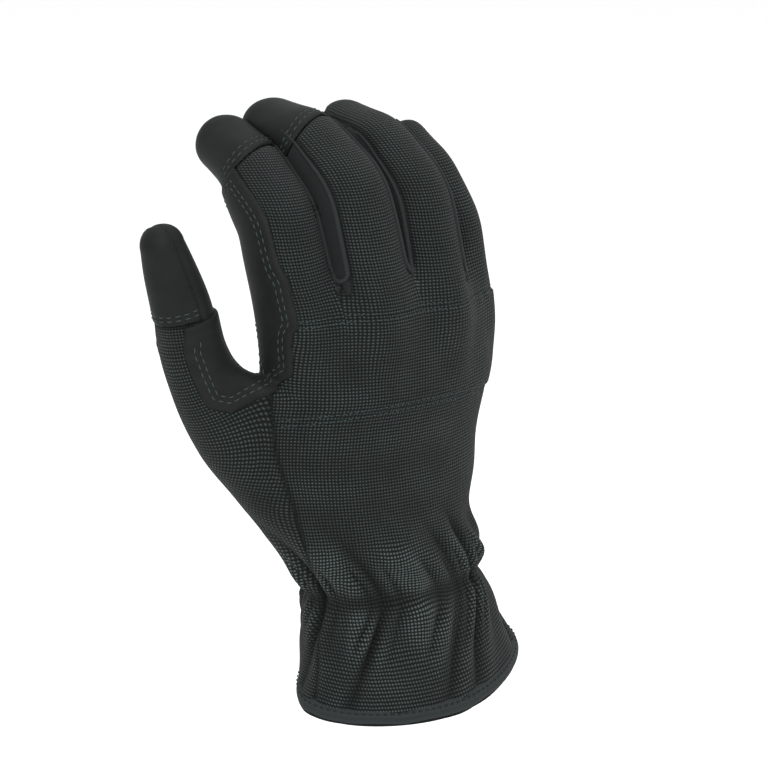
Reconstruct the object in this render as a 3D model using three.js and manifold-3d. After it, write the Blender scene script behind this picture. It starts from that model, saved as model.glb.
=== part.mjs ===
// Synthetic leather work glove for the right hand, as worn, in millimetres.
// +Z runs from the wrist to the fingers, -Y is the back of the hand, -X is the thumb side.
// The origin is the centre of the wrist opening.
import * as THREE from 'three';
import Module from 'manifold-3d';

const wasm = await Module();
wasm.setup();

// Cuff and wrist
const cuffWidth = 88;
const cuffDepth = 58;
const cuffHeight = 38;
const hemDrop = 8;
const hemTurn = 32;
const waistWidth = 71;
const waistDepth = 46;
const gatherCount = 7;
const gatherDepth = 2.4;

// Palm
const palmWidth = 100;
const palmDepth = 36;
const palmArch = 12;
const handHeight = 114;
const wristSway = -5;
const palmForward = 9;
const padHeight = 1.3;

// Fingers and thumb
const fingerLength = 106;
const fingerWidth = 25;
const fingerDepth = 28;
const thumbLength = 88;
const thumbWidth = 27;
const thumbDepth = 28;
const webThickness = 11;

// Walls, seams and trim
const wall = 1.6;
const seamGap = 0.3;
const patchThickness = 1.2;
const tapeThickness = 1;
const tapeHeight = 5.2;

// Sides of each ring of points, outside and inside
const bodySides = 28;
const fingerSides = { outside: 12, inside: 8 };
const thumbSides = { outside: 12, inside: 8 };
const webSides = { outside: 16, inside: 10 };

function sidesFor(sides, grow) {
  return grow < 0 ? sides.inside : sides.outside;
}

// Sections of the cuff from the hem up. rise is a share of cuffHeight, flare goes from the waist's size (0)
// to the hem's (1), lean tips the section down at the back as a share of hemDrop, gather is a share of
// gatherDepth, sway and forward are shares of wristSway and palmForward.
const cuffRows = [
  { rise: 0.00, flare: 1.00, lean: 1.00, gather: 0.25, sway: 0.00, forward: 0.00 },
  { rise: 0.20, flare: 0.84, lean: 0.85, gather: 0.40, sway: 0.10, forward: 0.10 },
  { rise: 0.45, flare: 0.62, lean: 0.55, gather: 0.65, sway: 0.35, forward: 0.25 },
  { rise: 0.72, flare: 0.30, lean: 0.25, gather: 1.00, sway: 0.65, forward: 0.42 },
  { rise: 0.90, flare: 0.06, lean: 0.08, gather: 0.85, sway: 0.90, forward: 0.50 },
  { rise: 1.00, flare: 0.00, lean: 0.00, gather: 0.40, sway: 1.00, forward: 0.55 },
];

// Sections of the hand from the elastic line up. rise is a share of handHeight, spread and bulk go from the
// waist's width and depth (0) to the palm's (1), thin is the share of that depth left towards the webs,
// arch, gather, sway and forward are shares of palmArch, gatherDepth, wristSway and palmForward, round is
// the corner power of the section and raise a share of padHeight.
const handRows = [
  {
    rise: 0.05, spread: 0.04, bulk: 0.1, thin: 1.00, arch: 0.0,
    gather: 1.0, sway: 1.0, forward: 0.66, round: 2.0, raise: 0,
  },
  {
    rise: 0.13, spread: 0.10, bulk: 0.2, thin: 1.00, arch: 0.1,
    gather: 0.6, sway: 1.1, forward: 0.74, round: 2.1, raise: 0,
  },
  {
    rise: 0.26, spread: 0.24, bulk: 0.4, thin: 1.00, arch: 0.3,
    gather: 0.2, sway: 1.2, forward: 0.82, round: 2.2, raise: 0,
  },
  {
    rise: 0.42, spread: 0.46, bulk: 0.7, thin: 1.00, arch: 0.6,
    gather: 0.0, sway: 1.1, forward: 0.90, round: 2.3, raise: 0,
  },
  {
    rise: 0.57, spread: 0.78, bulk: 0.9, thin: 1.00, arch: 0.8,
    gather: 0.0, sway: 0.5, forward: 0.94, round: 2.4, raise: 0,
  },
  {
    rise: 0.60, spread: 0.86, bulk: 1.0, thin: 1.00, arch: 0.9,
    gather: 0.0, sway: 0.1, forward: 0.96, round: 2.4, raise: 1,
  },
  {
    rise: 0.87, spread: 0.95, bulk: 1.0, thin: 1.00, arch: 1.0,
    gather: 0.0, sway: 0.0, forward: 1.25, round: 2.3, raise: 1,
  },
  {
    rise: 0.96, spread: 0.86, bulk: 1.0, thin: 0.92, arch: 1.0,
    gather: 0.0, sway: 0.0, forward: 1.56, round: 2.1, raise: 0,
  },
  {
    rise: 1.00, spread: 0.78, bulk: 1.0, thin: 0.80, arch: 1.0,
    gather: 0.0, sway: 0.0, forward: 1.70, round: 2.0, raise: 0,
  },
];

// Fingers. aside, forward and rise place the knuckle as shares of palmWidth, palmDepth and handHeight,
// long and stout are shares of the finger sizes, splay and bends are in degrees, lows are the heights of
// the fabric's two edges as shares of half the finger's depth, thumb side first.
const fingers = [
  {
    name: 'index', aside: -0.37, forward: 0.44, rise: 0.80, long: 0.89, stout: 1.00, splay: 1.4,
    bends: [18, 32, 22], lows: [0.35, 0.0],
  },
  {
    name: 'middle', aside: -0.105, forward: 0.12, rise: 0.82, long: 1.00, stout: 0.98, splay: -2,
    bends: [18, 38, 30], lows: [0.0, 0.0],
  },
  {
    name: 'ring', aside: 0.145, forward: 0.09, rise: 0.81, long: 0.94, stout: 0.96, splay: 0,
    bends: [16, 36, 30], lows: [0.0, 0.0],
  },
  {
    name: 'little', aside: 0.375, forward: 0.46, rise: 0.76, long: 0.75, stout: 0.84, splay: -4,
    bends: [6, 26, 26], lows: [0.0, -0.1],
  },
];

// How a finger's girth runs along it: at is a share of its length, size of its own width
const fingerGirth = [
  { at: -0.28, size: 0.55 },
  { at: -0.12, size: 0.86 },
  { at: 0.00, size: 1.04 },
  { at: 0.25, size: 1.03 },
  { at: 0.45, size: 1.00 },
  { at: 0.62, size: 0.94 },
  { at: 0.80, size: 0.86 },
  { at: 1.00, size: 0.80 },
];
const fingerStations = [-0.28, -0.12, 0.02, 0.22, 0.38, 0.48, 0.62, 0.76];
const jointPlaces = [0.0, 0.45, 0.72];
const jointSpan = 0.16;

// Thumb: its middle line as shares of thumbLength from the wrist opening's centre, and its girth as a share
// of the thumb sizes
const thumbRows = [
  { x: -0.44, y: 0.26, z: 0.86, size: 0.80 },
  { x: -0.61, y: 0.31, z: 1.04, size: 0.98 },
  { x: -0.72, y: 0.35, z: 1.22, size: 0.98 },
  { x: -0.80, y: 0.37, z: 1.42, size: 0.88 },
  { x: -0.85, y: 0.38, z: 1.62, size: 0.80 },
  { x: -0.91, y: 0.38, z: 1.80, size: 0.71 },
  { x: -0.95, y: 0.38, z: 1.97, size: 0.56 },
];

// Heel of the thumb and its web: each row spans an oval at the thumb and a round in the palm. rise is a share
// of handHeight, the places are shares of palmWidth, reach is the oval's half width as a share of thumbWidth,
// thick its depth as a share of thumbDepth and, up to 1, the round's radius as a share of webThickness.
const webRows = [
  { rise: 0.02, thumbX: -0.24, thumbY: 0.09, reach: 0.50, thick: 1.10, palmX: -0.10, palmY: 0.08 },
  { rise: 0.15, thumbX: -0.34, thumbY: 0.12, reach: 0.56, thick: 1.10, palmX: -0.10, palmY: 0.09 },
  { rise: 0.28, thumbX: -0.44, thumbY: 0.17, reach: 0.57, thick: 1.08, palmX: -0.12, palmY: 0.10 },
  { rise: 0.42, thumbX: -0.54, thumbY: 0.23, reach: 0.55, thick: 1.02, palmX: -0.16, palmY: 0.12 },
  { rise: 0.54, thumbX: -0.60, thumbY: 0.27, reach: 0.50, thick: 0.92, palmX: -0.20, palmY: 0.14 },
  { rise: 0.64, thumbX: -0.64, thumbY: 0.29, reach: 0.44, thick: 0.74, palmX: -0.32, palmY: 0.16 },
  { rise: 0.69, thumbX: -0.66, thumbY: 0.30, reach: 0.38, thick: 0.52, palmX: -0.44, palmY: 0.18 },
  { rise: 0.72, thumbX: -0.67, thumbY: 0.30, reach: 0.30, thick: 0.24, palmX: -0.54, palmY: 0.22 },
];

// Seams of the hand below the fingers. rise is a share of handHeight from the elastic line (below it, of
// cuffHeight), x and y are shares of palmWidth, turn is the way that the seam faces, in degrees from -X
// to -Y.
const longSeam = [
  { rise: -1.30, x: -0.43, y: -0.03, turn: 10 },
  { rise: -1.00, x: -0.43, y: -0.03, turn: 10 },
  { rise: 0.00, x: -0.39, y: -0.01, turn: 15 },
  { rise: 0.16, x: -0.43, y: 0.02, turn: 40 },
  { rise: 0.35, x: -0.49, y: 0.06, turn: 70 },
  { rise: 0.47, x: -0.52, y: 0.09, turn: 75 },
  { rise: 0.66, x: -0.50, y: 0.17, turn: 75 },
];
const heelSeam = [
  { rise: -1.30, x: -0.36, y: 0.17, turn: -40 },
  { rise: -1.00, x: -0.36, y: 0.17, turn: -40 },
  { rise: 0.00, x: -0.33, y: 0.19, turn: -55 },
  { rise: 0.16, x: -0.43, y: 0.27, turn: -62 },
  { rise: 0.35, x: -0.55, y: 0.33, turn: -66 },
  { rise: 0.47, x: -0.64, y: 0.38, turn: -66 },
  { rise: 0.66, x: -0.71, y: 0.43, turn: -66 },
];
const outerSeam = [
  { rise: -1.30, x: 0.44, y: 0.00 },
  { rise: -1.00, x: 0.44, y: 0.00 },
  { rise: 0.00, x: 0.30, y: 0.05 },
  { rise: 0.16, x: 0.32, y: 0.07 },
  { rise: 0.35, x: 0.36, y: 0.10 },
  { rise: 0.47, x: 0.42, y: 0.14 },
  { rise: 0.66, x: 0.46, y: 0.18 },
];
// Caps, fabric backs and fourchettes: places along a finger as shares of its length, heights as shares of
// half its depth, strip edges as shares of half its width
const capEdge = 0.71;
const backRoot = -0.1;

// Seams across the back, as shares of handHeight from the elastic line
const knuckleLow = 0.585;
const knuckleHigh = 0.88;
const webShare = 0.16;
const fourchetteEnd = 0.8;
const fourchetteLow = -0.5;
const fourchetteInner = 0.3;

// Piece over the web between two fingers: how far it goes below and above the top of the hand, and how far
// it stays off the two fingers' middle lines
const crotchBelow = 5;
const crotchAbove = 4;
const crotchInset = 3;

// Thumb seams: places along the thumb, and the angles around it that the fabric and the cap lie between
const thumbRootAt = 0.2;
const thumbCapAt = 0.63;
const thumbSeamNear = 42;
const thumbSeamFar = 200;
const thumbSectors = [[-20, 120], [100, 240], [220, 360]];

// Outline of the saddle patch seen from the back of the hand, as shares of palmWidth and, from the elastic
// line, of handHeight
const patchOutline = [
  { x: -0.440, rise: 0.740 },
  { x: -0.500, rise: 0.680 },
  { x: -0.580, rise: 0.650 },
  { x: -0.620, rise: 0.630 },
  { x: -0.700, rise: 0.600 },
  { x: -0.750, rise: 0.640 },
  { x: -0.775, rise: 0.720 },
  { x: -0.800, rise: 0.800 },
  { x: -0.810, rise: 0.860 },
  { x: -0.620, rise: 0.860 },
  { x: -0.600, rise: 0.750 },
  { x: -0.600, rise: 1.000 },
  { x: -0.460, rise: 1.000 },
];

// Patch along the index finger: shares of its length, and the angles around it, the lower one changing
const patchAlongIndex = { from: 0.12, to: 0.68, lowStart: 125, lowEnd: 152, high: 235 };


// Rounded ends: shares of the end's radius at which its rings lie
const domeSteps = [0, 0.5, 0.86];
const fingerRound = 2.1;
const tipSize = 0.82;
const thumbDomeAt = 0.9;

// Cutting regions: how far they reach past the surfaces that they divide
const beyond = 16;
const seamInset = 5;
const wide = 1.5;
const beyondRound = 2.2;
const reachPastTip = 1.15;
const skin = 0.05;

const degrees = Math.PI / 180;

function smooth(t) {
  const u = Math.min(1, Math.max(0, t));
  return u * u * (3 - 2 * u);
}

function mix(a, b, t) {
  return a + (b - a) * t;
}

// Value of a column at a place along a table whose rows carry that place in another column
function lookUp(rows, key, place, column) {
  const last = rows.length - 1;
  if (place <= rows[0][key]) return rows[0][column];
  for (let i = 0; i < last; i += 1) {
    if (place <= rows[i + 1][key]) {
      const t = (place - rows[i][key]) / (rows[i + 1][key] - rows[i][key]);
      return mix(rows[i][column], rows[i + 1][column], t);
    }
  }
  return rows[last][column];
}

// Point of a superellipse in its own plane
function oval(angle, halfWidth, halfDepth, power) {
  const c = Math.cos(angle);
  const s = Math.sin(angle);
  const x = halfWidth * Math.sign(c) * Math.abs(c) ** (2 / power);
  const y = halfDepth * Math.sign(s) * Math.abs(s) ** (2 / power);
  return { x, y };
}

// Triangles over a flat ring of points, turned the way the ring runs
function coverRing(ring) {
  const across = new THREE.Vector3().subVectors(ring[1], ring[0]).normalize();
  const normal = new THREE.Vector3();
  ring.forEach((p, i) => {
    normal.add(new THREE.Vector3().crossVectors(p, ring[(i + 1) % ring.length]));
  });
  normal.normalize();
  const along = new THREE.Vector3().crossVectors(normal, across);
  const flat = ring.map((p) => new THREE.Vector2(p.dot(across), p.dot(along)));
  return THREE.ShapeUtils.triangulateShape(flat, []);
}

// Closed solid through rings of equal point counts, covered at both ends
function loft(rings) {
  const count = rings[0].length;
  const points = rings.flat();
  const faces = [];
  for (let r = 0; r + 1 < rings.length; r += 1) {
    for (let i = 0; i < count; i += 1) {
      const a = r * count + i;
      const b = r * count + ((i + 1) % count);
      faces.push([a, b, b + count], [a, b + count, a + count]);
    }
  }
  const last = (rings.length - 1) * count;
  for (const [i, j, k] of coverRing(rings[0])) faces.push([k, j, i]);
  for (const [i, j, k] of coverRing(rings.at(-1))) faces.push([i + last, j + last, k + last]);
  const geometry = new THREE.BufferGeometry();
  geometry.setAttribute('position', new THREE.Float32BufferAttribute(points.flatMap((p) => p.toArray()), 3));
  geometry.setIndex(faces.flat());
  return toSolid(geometry);
}

// Solid of a closed geometry, turned so that its faces point out
function toSolid(geometry) {
  const place = geometry.attributes.position;
  const index = geometry.index.array;
  let volume = 0;
  const [a, b, c] = [new THREE.Vector3(), new THREE.Vector3(), new THREE.Vector3()];
  for (let i = 0; i < index.length; i += 3) {
    a.fromBufferAttribute(place, index[i]);
    b.fromBufferAttribute(place, index[i + 1]);
    c.fromBufferAttribute(place, index[i + 2]);
    volume += a.dot(b.cross(c));
  }
  const triVerts = Uint32Array.from(index);
  if (volume < 0) triVerts.reverse();
  return new wasm.Manifold(new wasm.Mesh({
    numProp: 3, vertProperties: Float32Array.from(place.array), triVerts,
  }));
}

function join(solids) {
  return solids.reduce((sum, next) => sum.add(next));
}

// Sizes of the body's section at each row, from the hem to the finger webs
function bodyRows() {
  const rows = [];
  for (const row of cuffRows) {
    rows.push({
      z: row.rise * cuffHeight,
      x: row.sway * wristSway,
      y: row.forward * palmForward,
      width: mix(waistWidth, cuffWidth, row.flare),
      depth: mix(waistDepth, cuffDepth, row.flare),
      lean: row.lean * hemDrop,
      gather: row.gather * gatherDepth,
      round: 2,
      raise: 0,
      arch: 0,
    });
  }
  for (const row of handRows) {
    rows.push({
      z: cuffHeight + row.rise * handHeight,
      x: row.sway * wristSway,
      y: row.forward * palmForward,
      width: mix(waistWidth, palmWidth, row.spread),
      depth: mix(waistDepth, palmDepth, row.bulk) * row.thin,
      lean: 0,
      gather: row.gather * gatherDepth,
      round: row.round,
      raise: row.raise * padHeight,
      arch: row.arch * palmArch,
    });
  }
  return rows;
}

const body = bodyRows();

// Palm and cuff, grown by a distance; the hem end can be lengthened so that a cut passes it
function bodyForm(grow, below) {
  const rings = body.map((row, number) => {
    const ring = [];
    const shift = number === body.length - 1 ? grow : 0;
    for (let i = 0; i < bodySides; i += 1) {
      const angle = (2 * Math.PI * i) / bodySides;
      const fold = row.gather * 0.5 * (1 + Math.cos(gatherCount * angle));
      const back = Math.max(0, Math.sin(angle)) ** 0.7;
      const out = grow + fold;
      const p = oval(angle, row.width / 2 + out, row.depth / 2 + out + row.raise * back, row.round);
      const tip = -row.lean * (
        (p.y / (row.depth / 2)) * Math.cos(hemTurn * degrees)
        - (p.x / (row.width / 2)) * Math.sin(hemTurn * degrees)
      );
      const arch = row.arch * (p.x / (palmWidth / 2)) ** 2;
      ring.push(new THREE.Vector3(row.x + p.x, row.y + arch - p.y, row.z + tip + shift));
    }
    return ring;
  });
  const share = below / (body[1].z - body[0].z);
  rings[0] = rings[0].map((p, i) => p.clone().lerp(rings[1][i], -share));
  return loft(rings);
}

// Frame on a finger's middle line at a share of its length
function fingerPlace(finger, at) {
  const length = finger.long * fingerLength;
  const splay = finger.splay * degrees;
  const up = new THREE.Vector3(Math.sin(splay), 0, Math.cos(splay));
  const palmward = new THREE.Vector3(0, 1, 0);
  const across = new THREE.Vector3().crossVectors(palmward, up);
  const point = new THREE.Vector3(
    finger.aside * palmWidth,
    finger.forward * palmDepth,
    cuffHeight + finger.rise * handHeight,
  );
  const steps = 60;
  const along = new THREE.Vector3();
  for (let i = 0; i <= steps; i += 1) {
    const s = (at * i) / steps;
    let bend = 0;
    jointPlaces.forEach((joint, k) => {
      bend += finger.bends[k] * smooth((s - joint) / jointSpan + 0.5);
    });
    along.copy(up).multiplyScalar(Math.cos(bend * degrees));
    along.addScaledVector(palmward, Math.sin(bend * degrees));
    if (i < steps) point.addScaledVector(along, (at * length) / steps);
  }
  const dorsal = new THREE.Vector3().crossVectors(across, along);
  return { point, along, across, dorsal };
}

function tubeRing(frame, halfWidth, halfDepth, sides) {
  const ring = [];
  for (let i = 0; i < sides; i += 1) {
    const p = oval((2 * Math.PI * i) / sides, halfWidth, halfDepth, fingerRound);
    ring.push(frame.point.clone().addScaledVector(frame.across, p.x).addScaledVector(frame.dorsal, p.y));
  }
  return ring;
}

function fingerForm(finger, grow) {
  const length = finger.long * fingerLength;
  const tipRadius = (fingerWidth * finger.stout * tipSize) / 2;
  const sides = sidesFor(fingerSides, grow);
  const rings = [];
  for (const at of fingerStations) {
    const size = lookUp(fingerGirth, 'at', at, 'size') * finger.stout;
    const frame = fingerPlace(finger, at);
    rings.push(tubeRing(frame, size * fingerWidth / 2 + grow, size * fingerDepth / 2 + grow, sides));
  }
  const domeStart = 1 - tipRadius / length;
  const size = lookUp(fingerGirth, 'at', domeStart, 'size') * finger.stout;
  for (const s of domeSteps) {
    const frame = fingerPlace(finger, domeStart);
    frame.point.addScaledVector(frame.along, s * (tipRadius + grow));
    const shrink = Math.sqrt(1 - s * s);
    rings.push(tubeRing(
      frame,
      shrink * (size * fingerWidth / 2 + grow),
      shrink * (size * fingerDepth / 2 + grow),
      sides,
    ));
  }
  return loft(rings);
}

const thumbCurve = new THREE.CatmullRomCurve3(thumbRows.map(
  (row) => new THREE.Vector3(row.x, row.y, row.z).multiplyScalar(thumbLength),
));
const thumbFacing = new THREE.Vector3(-0.72, -0.69, 0).normalize();

function thumbPlace(at) {
  const point = thumbCurve.getPoint(at);
  const along = thumbCurve.getTangent(at);
  const across = new THREE.Vector3().crossVectors(along, thumbFacing).normalize();
  const dorsal = new THREE.Vector3().crossVectors(across, along);
  return { point, along, across, dorsal };
}

function thumbSize(at) {
  const place = at * (thumbRows.length - 1);
  const low = Math.min(thumbRows.length - 2, Math.floor(place));
  return mix(thumbRows[low].size, thumbRows[low + 1].size, place - low);
}

function thumbForm(grow) {
  const rings = [];
  const steps = 9;
  const sides = sidesFor(thumbSides, grow);
  for (let i = 0; i < steps; i += 1) {
    const at = (thumbDomeAt * i) / steps;
    rings.push(tubeRing(
      thumbPlace(at),
      thumbSize(at) * thumbWidth / 2 + grow,
      thumbSize(at) * thumbDepth / 2 + grow,
      sides,
    ));
  }
  const size = thumbSize(thumbDomeAt);
  for (const s of domeSteps) {
    const frame = thumbPlace(thumbDomeAt);
    frame.point.addScaledVector(frame.along, s * (size * thumbWidth / 2 + grow));
    const shrink = Math.sqrt(1 - s * s);
    rings.push(tubeRing(
      frame,
      shrink * (size * thumbWidth / 2 + grow),
      shrink * (size * thumbDepth / 2 + grow),
      sides,
    ));
  }
  return loft(rings);
}

// Ring around two ovals, each point taken from the oval that reaches further that way
function spanRing(near, far, z, sides) {
  const ring = [];
  for (let i = 0; i < sides; i += 1) {
    const angle = (2 * Math.PI * (i + 0.5)) / sides;
    const way = { x: Math.cos(angle), y: Math.sin(angle) };
    const ends = [near, far].map((o) => {
      const reach = Math.hypot(o.a * way.x, o.b * way.y);
      return {
        x: o.x + (o.a * o.a * way.x) / reach,
        y: o.y + (o.b * o.b * way.y) / reach,
        support: o.x * way.x + o.y * way.y + reach,
      };
    });
    const best = ends[0].support > ends[1].support ? ends[0] : ends[1];
    ring.push(new THREE.Vector3(best.x, best.y, z));
  }
  return ring;
}

function webForm(grow) {
  const rings = webRows.map((row, number) => {
    const top = number === webRows.length - 1;
    const z = cuffHeight + row.rise * handHeight + (top ? grow : 0);
    const near = {
      x: row.thumbX * palmWidth,
      y: row.thumbY * palmWidth,
      a: row.reach * thumbWidth + grow,
      b: row.thick * thumbDepth / 2 + grow,
    };
    const far = {
      x: row.palmX * palmWidth,
      y: row.palmY * palmWidth,
      a: webThickness * Math.min(1, row.thick) + grow,
      b: webThickness * Math.min(1, row.thick) + grow,
    };
    return spanRing(near, far, z, sidesFor(webSides, grow));
  });
  return loft(rings);
}

// The whole glove's form, grown by a distance
function gloveForm(grow, below) {
  return join([
    bodyForm(grow, below),
    webForm(grow),
    ...fingers.map((finger) => fingerForm(finger, grow)),
    thumbForm(grow),
  ]);
}

// Flat outline moved out by a distance, with its corners kept sharp
function growOutline(outline, distance) {
  let area = 0;
  outline.forEach(([x, y], i) => {
    const [nextX, nextY] = outline[(i + 1) % outline.length];
    area += x * nextY - nextX * y;
  });
  const side = Math.sign(area);
  const edges = outline.map(([x, y], i) => {
    const [nextX, nextY] = outline[(i + 1) % outline.length];
    const length = Math.hypot(nextX - x, nextY - y);
    return { x: (side * (nextY - y)) / length, y: (-side * (nextX - x)) / length };
  });
  return outline.map(([x, y], i) => {
    const before = edges[(i + outline.length - 1) % outline.length];
    const after = edges[i];
    const reach = distance / (1 + before.x * after.x + before.y * after.y);
    return [x + (before.x + after.x) * reach, y + (before.y + after.y) * reach];
  });
}

// Region that follows a middle line: the outline is in shares of the half width and half depth there
function regionAlong(places, grow) {
  const rings = places.map(({ frame, halfWidth, halfDepth, outline }, number) => {
    const size = outline.map(([x, y]) => [x * halfWidth, y * halfDepth]);
    const origin = frame.point.clone();
    if (number === 0) origin.addScaledVector(frame.along, -grow);
    if (number === places.length - 1) origin.addScaledVector(frame.along, grow);
    return growOutline(size, grow).map(([x, y]) => origin.clone()
      .addScaledVector(frame.across, x).addScaledVector(frame.dorsal, y));
  });
  return loft(rings);
}

function fingerPlaces(finger, from, to, outlineAt) {
  const steps = 4;
  const places = [];
  for (let i = 0; i <= steps; i += 1) {
    const at = mix(from, to, i / steps);
    const size = lookUp(fingerGirth, 'at', at, 'size') * finger.stout;
    places.push({
      frame: fingerPlace(finger, at),
      halfWidth: (size * fingerWidth) / 2,
      halfDepth: (size * fingerDepth) / 2,
      outline: outlineAt(i / steps),
    });
  }
  return places;
}

// Sector between two angles, in shares of the half width and half depth
function wedge(start, end) {
  const parts = 3;
  const outline = [[0, 0]];
  for (let k = 0; k <= parts; k += 1) {
    const angle = mix(start, end, k / parts) * degrees;
    outline.push([beyondRound * Math.cos(angle), beyondRound * Math.sin(angle)]);
  }
  return outline;
}

// The part of a region that belongs to one finger
function onFinger(finger, region, grow) {
  return region.intersect(fingerForm(finger, grow + skin));
}

// Whole end of a finger, from the cap's edge to past the tip
function capRegion(finger, grow) {
  const square = [[-wide, -wide], [wide, -wide], [wide, wide], [-wide, wide]];
  const places = fingerPlaces(finger, capEdge, reachPastTip, () => square);
  return onFinger(finger, regionAlong(places, grow), grow);
}

// Back half of a finger, above its two fabric edges
function fingerBackRegion(finger, grow) {
  const [thumbSide, farSide] = finger.lows;
  const outline = [[-wide, thumbSide], [wide, farSide], [wide, wide], [-wide, wide]];
  const places = fingerPlaces(finger, backRoot, reachPastTip, () => outline);
  return onFinger(finger, regionAlong(places, grow), grow);
}

// Strip along one side of a finger: side is 1 away from the thumb and -1 towards it
function stripRegion(finger, side, grow) {
  const high = side > 0 ? finger.lows[1] : finger.lows[0];
  const [inner, outer] = [fourchetteInner * side, wide * side];
  const outline = [[inner, fourchetteLow], [outer, fourchetteLow], [outer, high], [inner, high]];
  const places = fingerPlaces(finger, webShare, fourchetteEnd, () => outline);
  return onFinger(finger, regionAlong(places, grow), grow);
}

// Fourchette between a finger and the next: both strips and the piece over the web between them
function fourchetteRegion(finger, next, grow) {
  const near = fingerPlace(finger, webShare).point;
  const far = fingerPlace(next, webShare).point;
  const top = cuffHeight + handHeight;
  const depth = (-fourchetteLow * fingerDepth) / 2;
  const low = top - crotchBelow - grow;
  const high = top + crotchAbove + grow;
  const [left, right] = [near.x + crotchInset, far.x - crotchInset];
  const lap = depth / 2;
  const corners = growOutline(
    [[left, near.y - lap], [right, far.y - lap], [right, far.y + depth + lap], [left, near.y + depth + lap]],
    grow,
  );
  const ringAt = (z) => corners.map(([x, y]) => new THREE.Vector3(x, y, z));
  return join([
    stripRegion(finger, 1, grow),
    stripRegion(next, -1, grow),
    loft([ringAt(low), ringAt(high)]),
  ]);
}

function seamLine(row) {
  const x = row.x * palmWidth;
  const y = row.y * palmWidth;
  const turn = row.turn * degrees;
  const way = [-Math.cos(turn), -Math.sin(turn)];
  return {
    inside: [x - way[0] * seamInset, y - way[1] * seamInset],
    outside: [x + way[0] * beyond, y + way[1] * beyond],
  };
}

function seamHeight(row) {
  return cuffHeight + row.rise * (row.rise < 0 ? cuffHeight : handHeight);
}

function levelRegion(outlines, heights, grow) {
  return loft(outlines.map((outline, i) => {
    const z = heights[i] + (i === 0 ? -grow : 0) + (i === outlines.length - 1 ? grow : 0);
    return growOutline(outline, grow).map(([x, y]) => new THREE.Vector3(x, y, z));
  }));
}

// Back of the hand, dorsal of the long seam and the outer seam
function backRegion(grow) {
  const far = palmWidth;
  const outlines = longSeam.map((row, i) => {
    const near = seamLine(row);
    const outer = outerSeam[i];
    const y = outer.y * palmWidth;
    return [near.inside, [0, y], [far, y], [far, -far], [near.outside[0] - 1, -far], near.outside];
  });
  const heights = longSeam.map(seamHeight);
  const top = outlines.at(-1).map((p) => [...p]);
  outlines.push(top);
  heights.push(cuffHeight + handHeight);
  return join([
    levelRegion(outlines, heights, grow),
    ...fingers.map((finger) => fingerBackRegion(finger, grow)),
  ]);
}

// Part of the back between two heights; no lower one for the cuff's end and no upper one for the fingers'
function backBetween(from, to, grow) {
  const far = 2 * (handHeight + fingerLength);
  const low = from === null ? -far : cuffHeight + from * handHeight - grow;
  const high = to === null ? far : cuffHeight + to * handHeight + grow;
  const square = [[-far, -far], [far, -far], [far, far], [-far, far]];
  const slab = loft([low, high].map((z) => square.map(([x, y]) => new THREE.Vector3(x, y, z))));
  return backRegion(grow).intersect(slab);
}

// Side of the hand below the thumb, between the long seam and the heel seam
function sideRegion(grow) {
  const far = palmWidth * 1.3;
  const outlines = longSeam.map((row, i) => {
    const near = seamLine(row);
    const heel = seamLine(heelSeam[i]);
    return [near.inside, near.outside, [-far, -far / 2], [-far, far / 2], heel.outside, heel.inside];
  });
  return levelRegion(outlines, longSeam.map(seamHeight), grow);
}

// Part of the thumb from a place to past its tip, within two angles around it
function thumbRegion(from, start, end, grow) {
  const steps = 4;
  const places = [];
  for (let i = 0; i <= steps; i += 1) {
    const at = mix(from, reachPastTip, i / steps);
    const near = Math.min(at, thumbDomeAt);
    const frame = thumbPlace(near);
    frame.point.addScaledVector(frame.along, (at - near) * thumbLength);
    places.push({
      frame,
      halfWidth: (thumbSize(near) * thumbWidth) / 2,
      halfDepth: (thumbSize(near) * thumbDepth) / 2,
      outline: wedge(start, end),
    });
  }
  return regionAlong(places, grow);
}

// Every way around the thumb, as sectors that overlap
function thumbWholeRegion(from, grow) {
  return join(thumbSectors.map(([start, end]) => thumbRegion(from, start, end, grow)));
}

function patchRegion() {
  const outline = patchOutline.map((row) => [row.x * palmWidth, cuffHeight + row.rise * handHeight]);
  const ringAt = (y) => outline.map(([x, z]) => new THREE.Vector3(x, y, z));
  const { from, to, lowStart, lowEnd, high } = patchAlongIndex;
  const sector = (t) => wedge(mix(lowStart, lowEnd, t), high);
  const along = regionAlong(fingerPlaces(fingers[0], from, to, sector), 0);
  return loft([ringAt(-palmWidth), ringAt(palmWidth)]).add(along);
}

function patchForm(grow) {
  return join([bodyForm(grow, 0), webForm(grow), fingerForm(fingers[0], grow), thumbForm(grow)]);
}

// Folded tape round the hem, with the wall of the cuff seated in its slot
function bindingSolid() {
  const tape = seamGap + tapeThickness;
  const row = body[0];
  const slant = (x, y) => -hemDrop * (
    (-(y - row.y) / (row.depth / 2)) * Math.cos(hemTurn * degrees)
    - ((x - row.x) / (row.width / 2)) * Math.sin(hemTurn * degrees)
  );
  const reach = cuffWidth;
  const slab = [-2 * cuffHeight, tapeHeight - tape].map((z) => (
    [[-reach, -reach], [reach, -reach], [reach, reach], [-reach, reach]].map(
      ([x, y]) => new THREE.Vector3(x, y, z + slant(x, y)),
    )
  ));
  const outside = bodyForm(tape, tape);
  const hollow = bodyForm(-(wall + tape), 2 * cuffHeight);
  const slot = bodyForm(seamGap, seamGap).subtract(bodyForm(-(wall + seamGap), 2 * seamGap));
  return outside.subtract(hollow).subtract(slot).intersect(loft(slab));
}

const shell = gloveForm(0, 0).subtract(gloveForm(-wall, tapeHeight));

const glove = new THREE.Group();

// Largest body of a cut solid; what else the cut leaves is less than a crumb of cloth
function mainBody(solid) {
  const bodies = solid.decompose();
  return bodies.reduce((most, next) => (next.volume() > most.volume() ? next : most));
}

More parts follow.
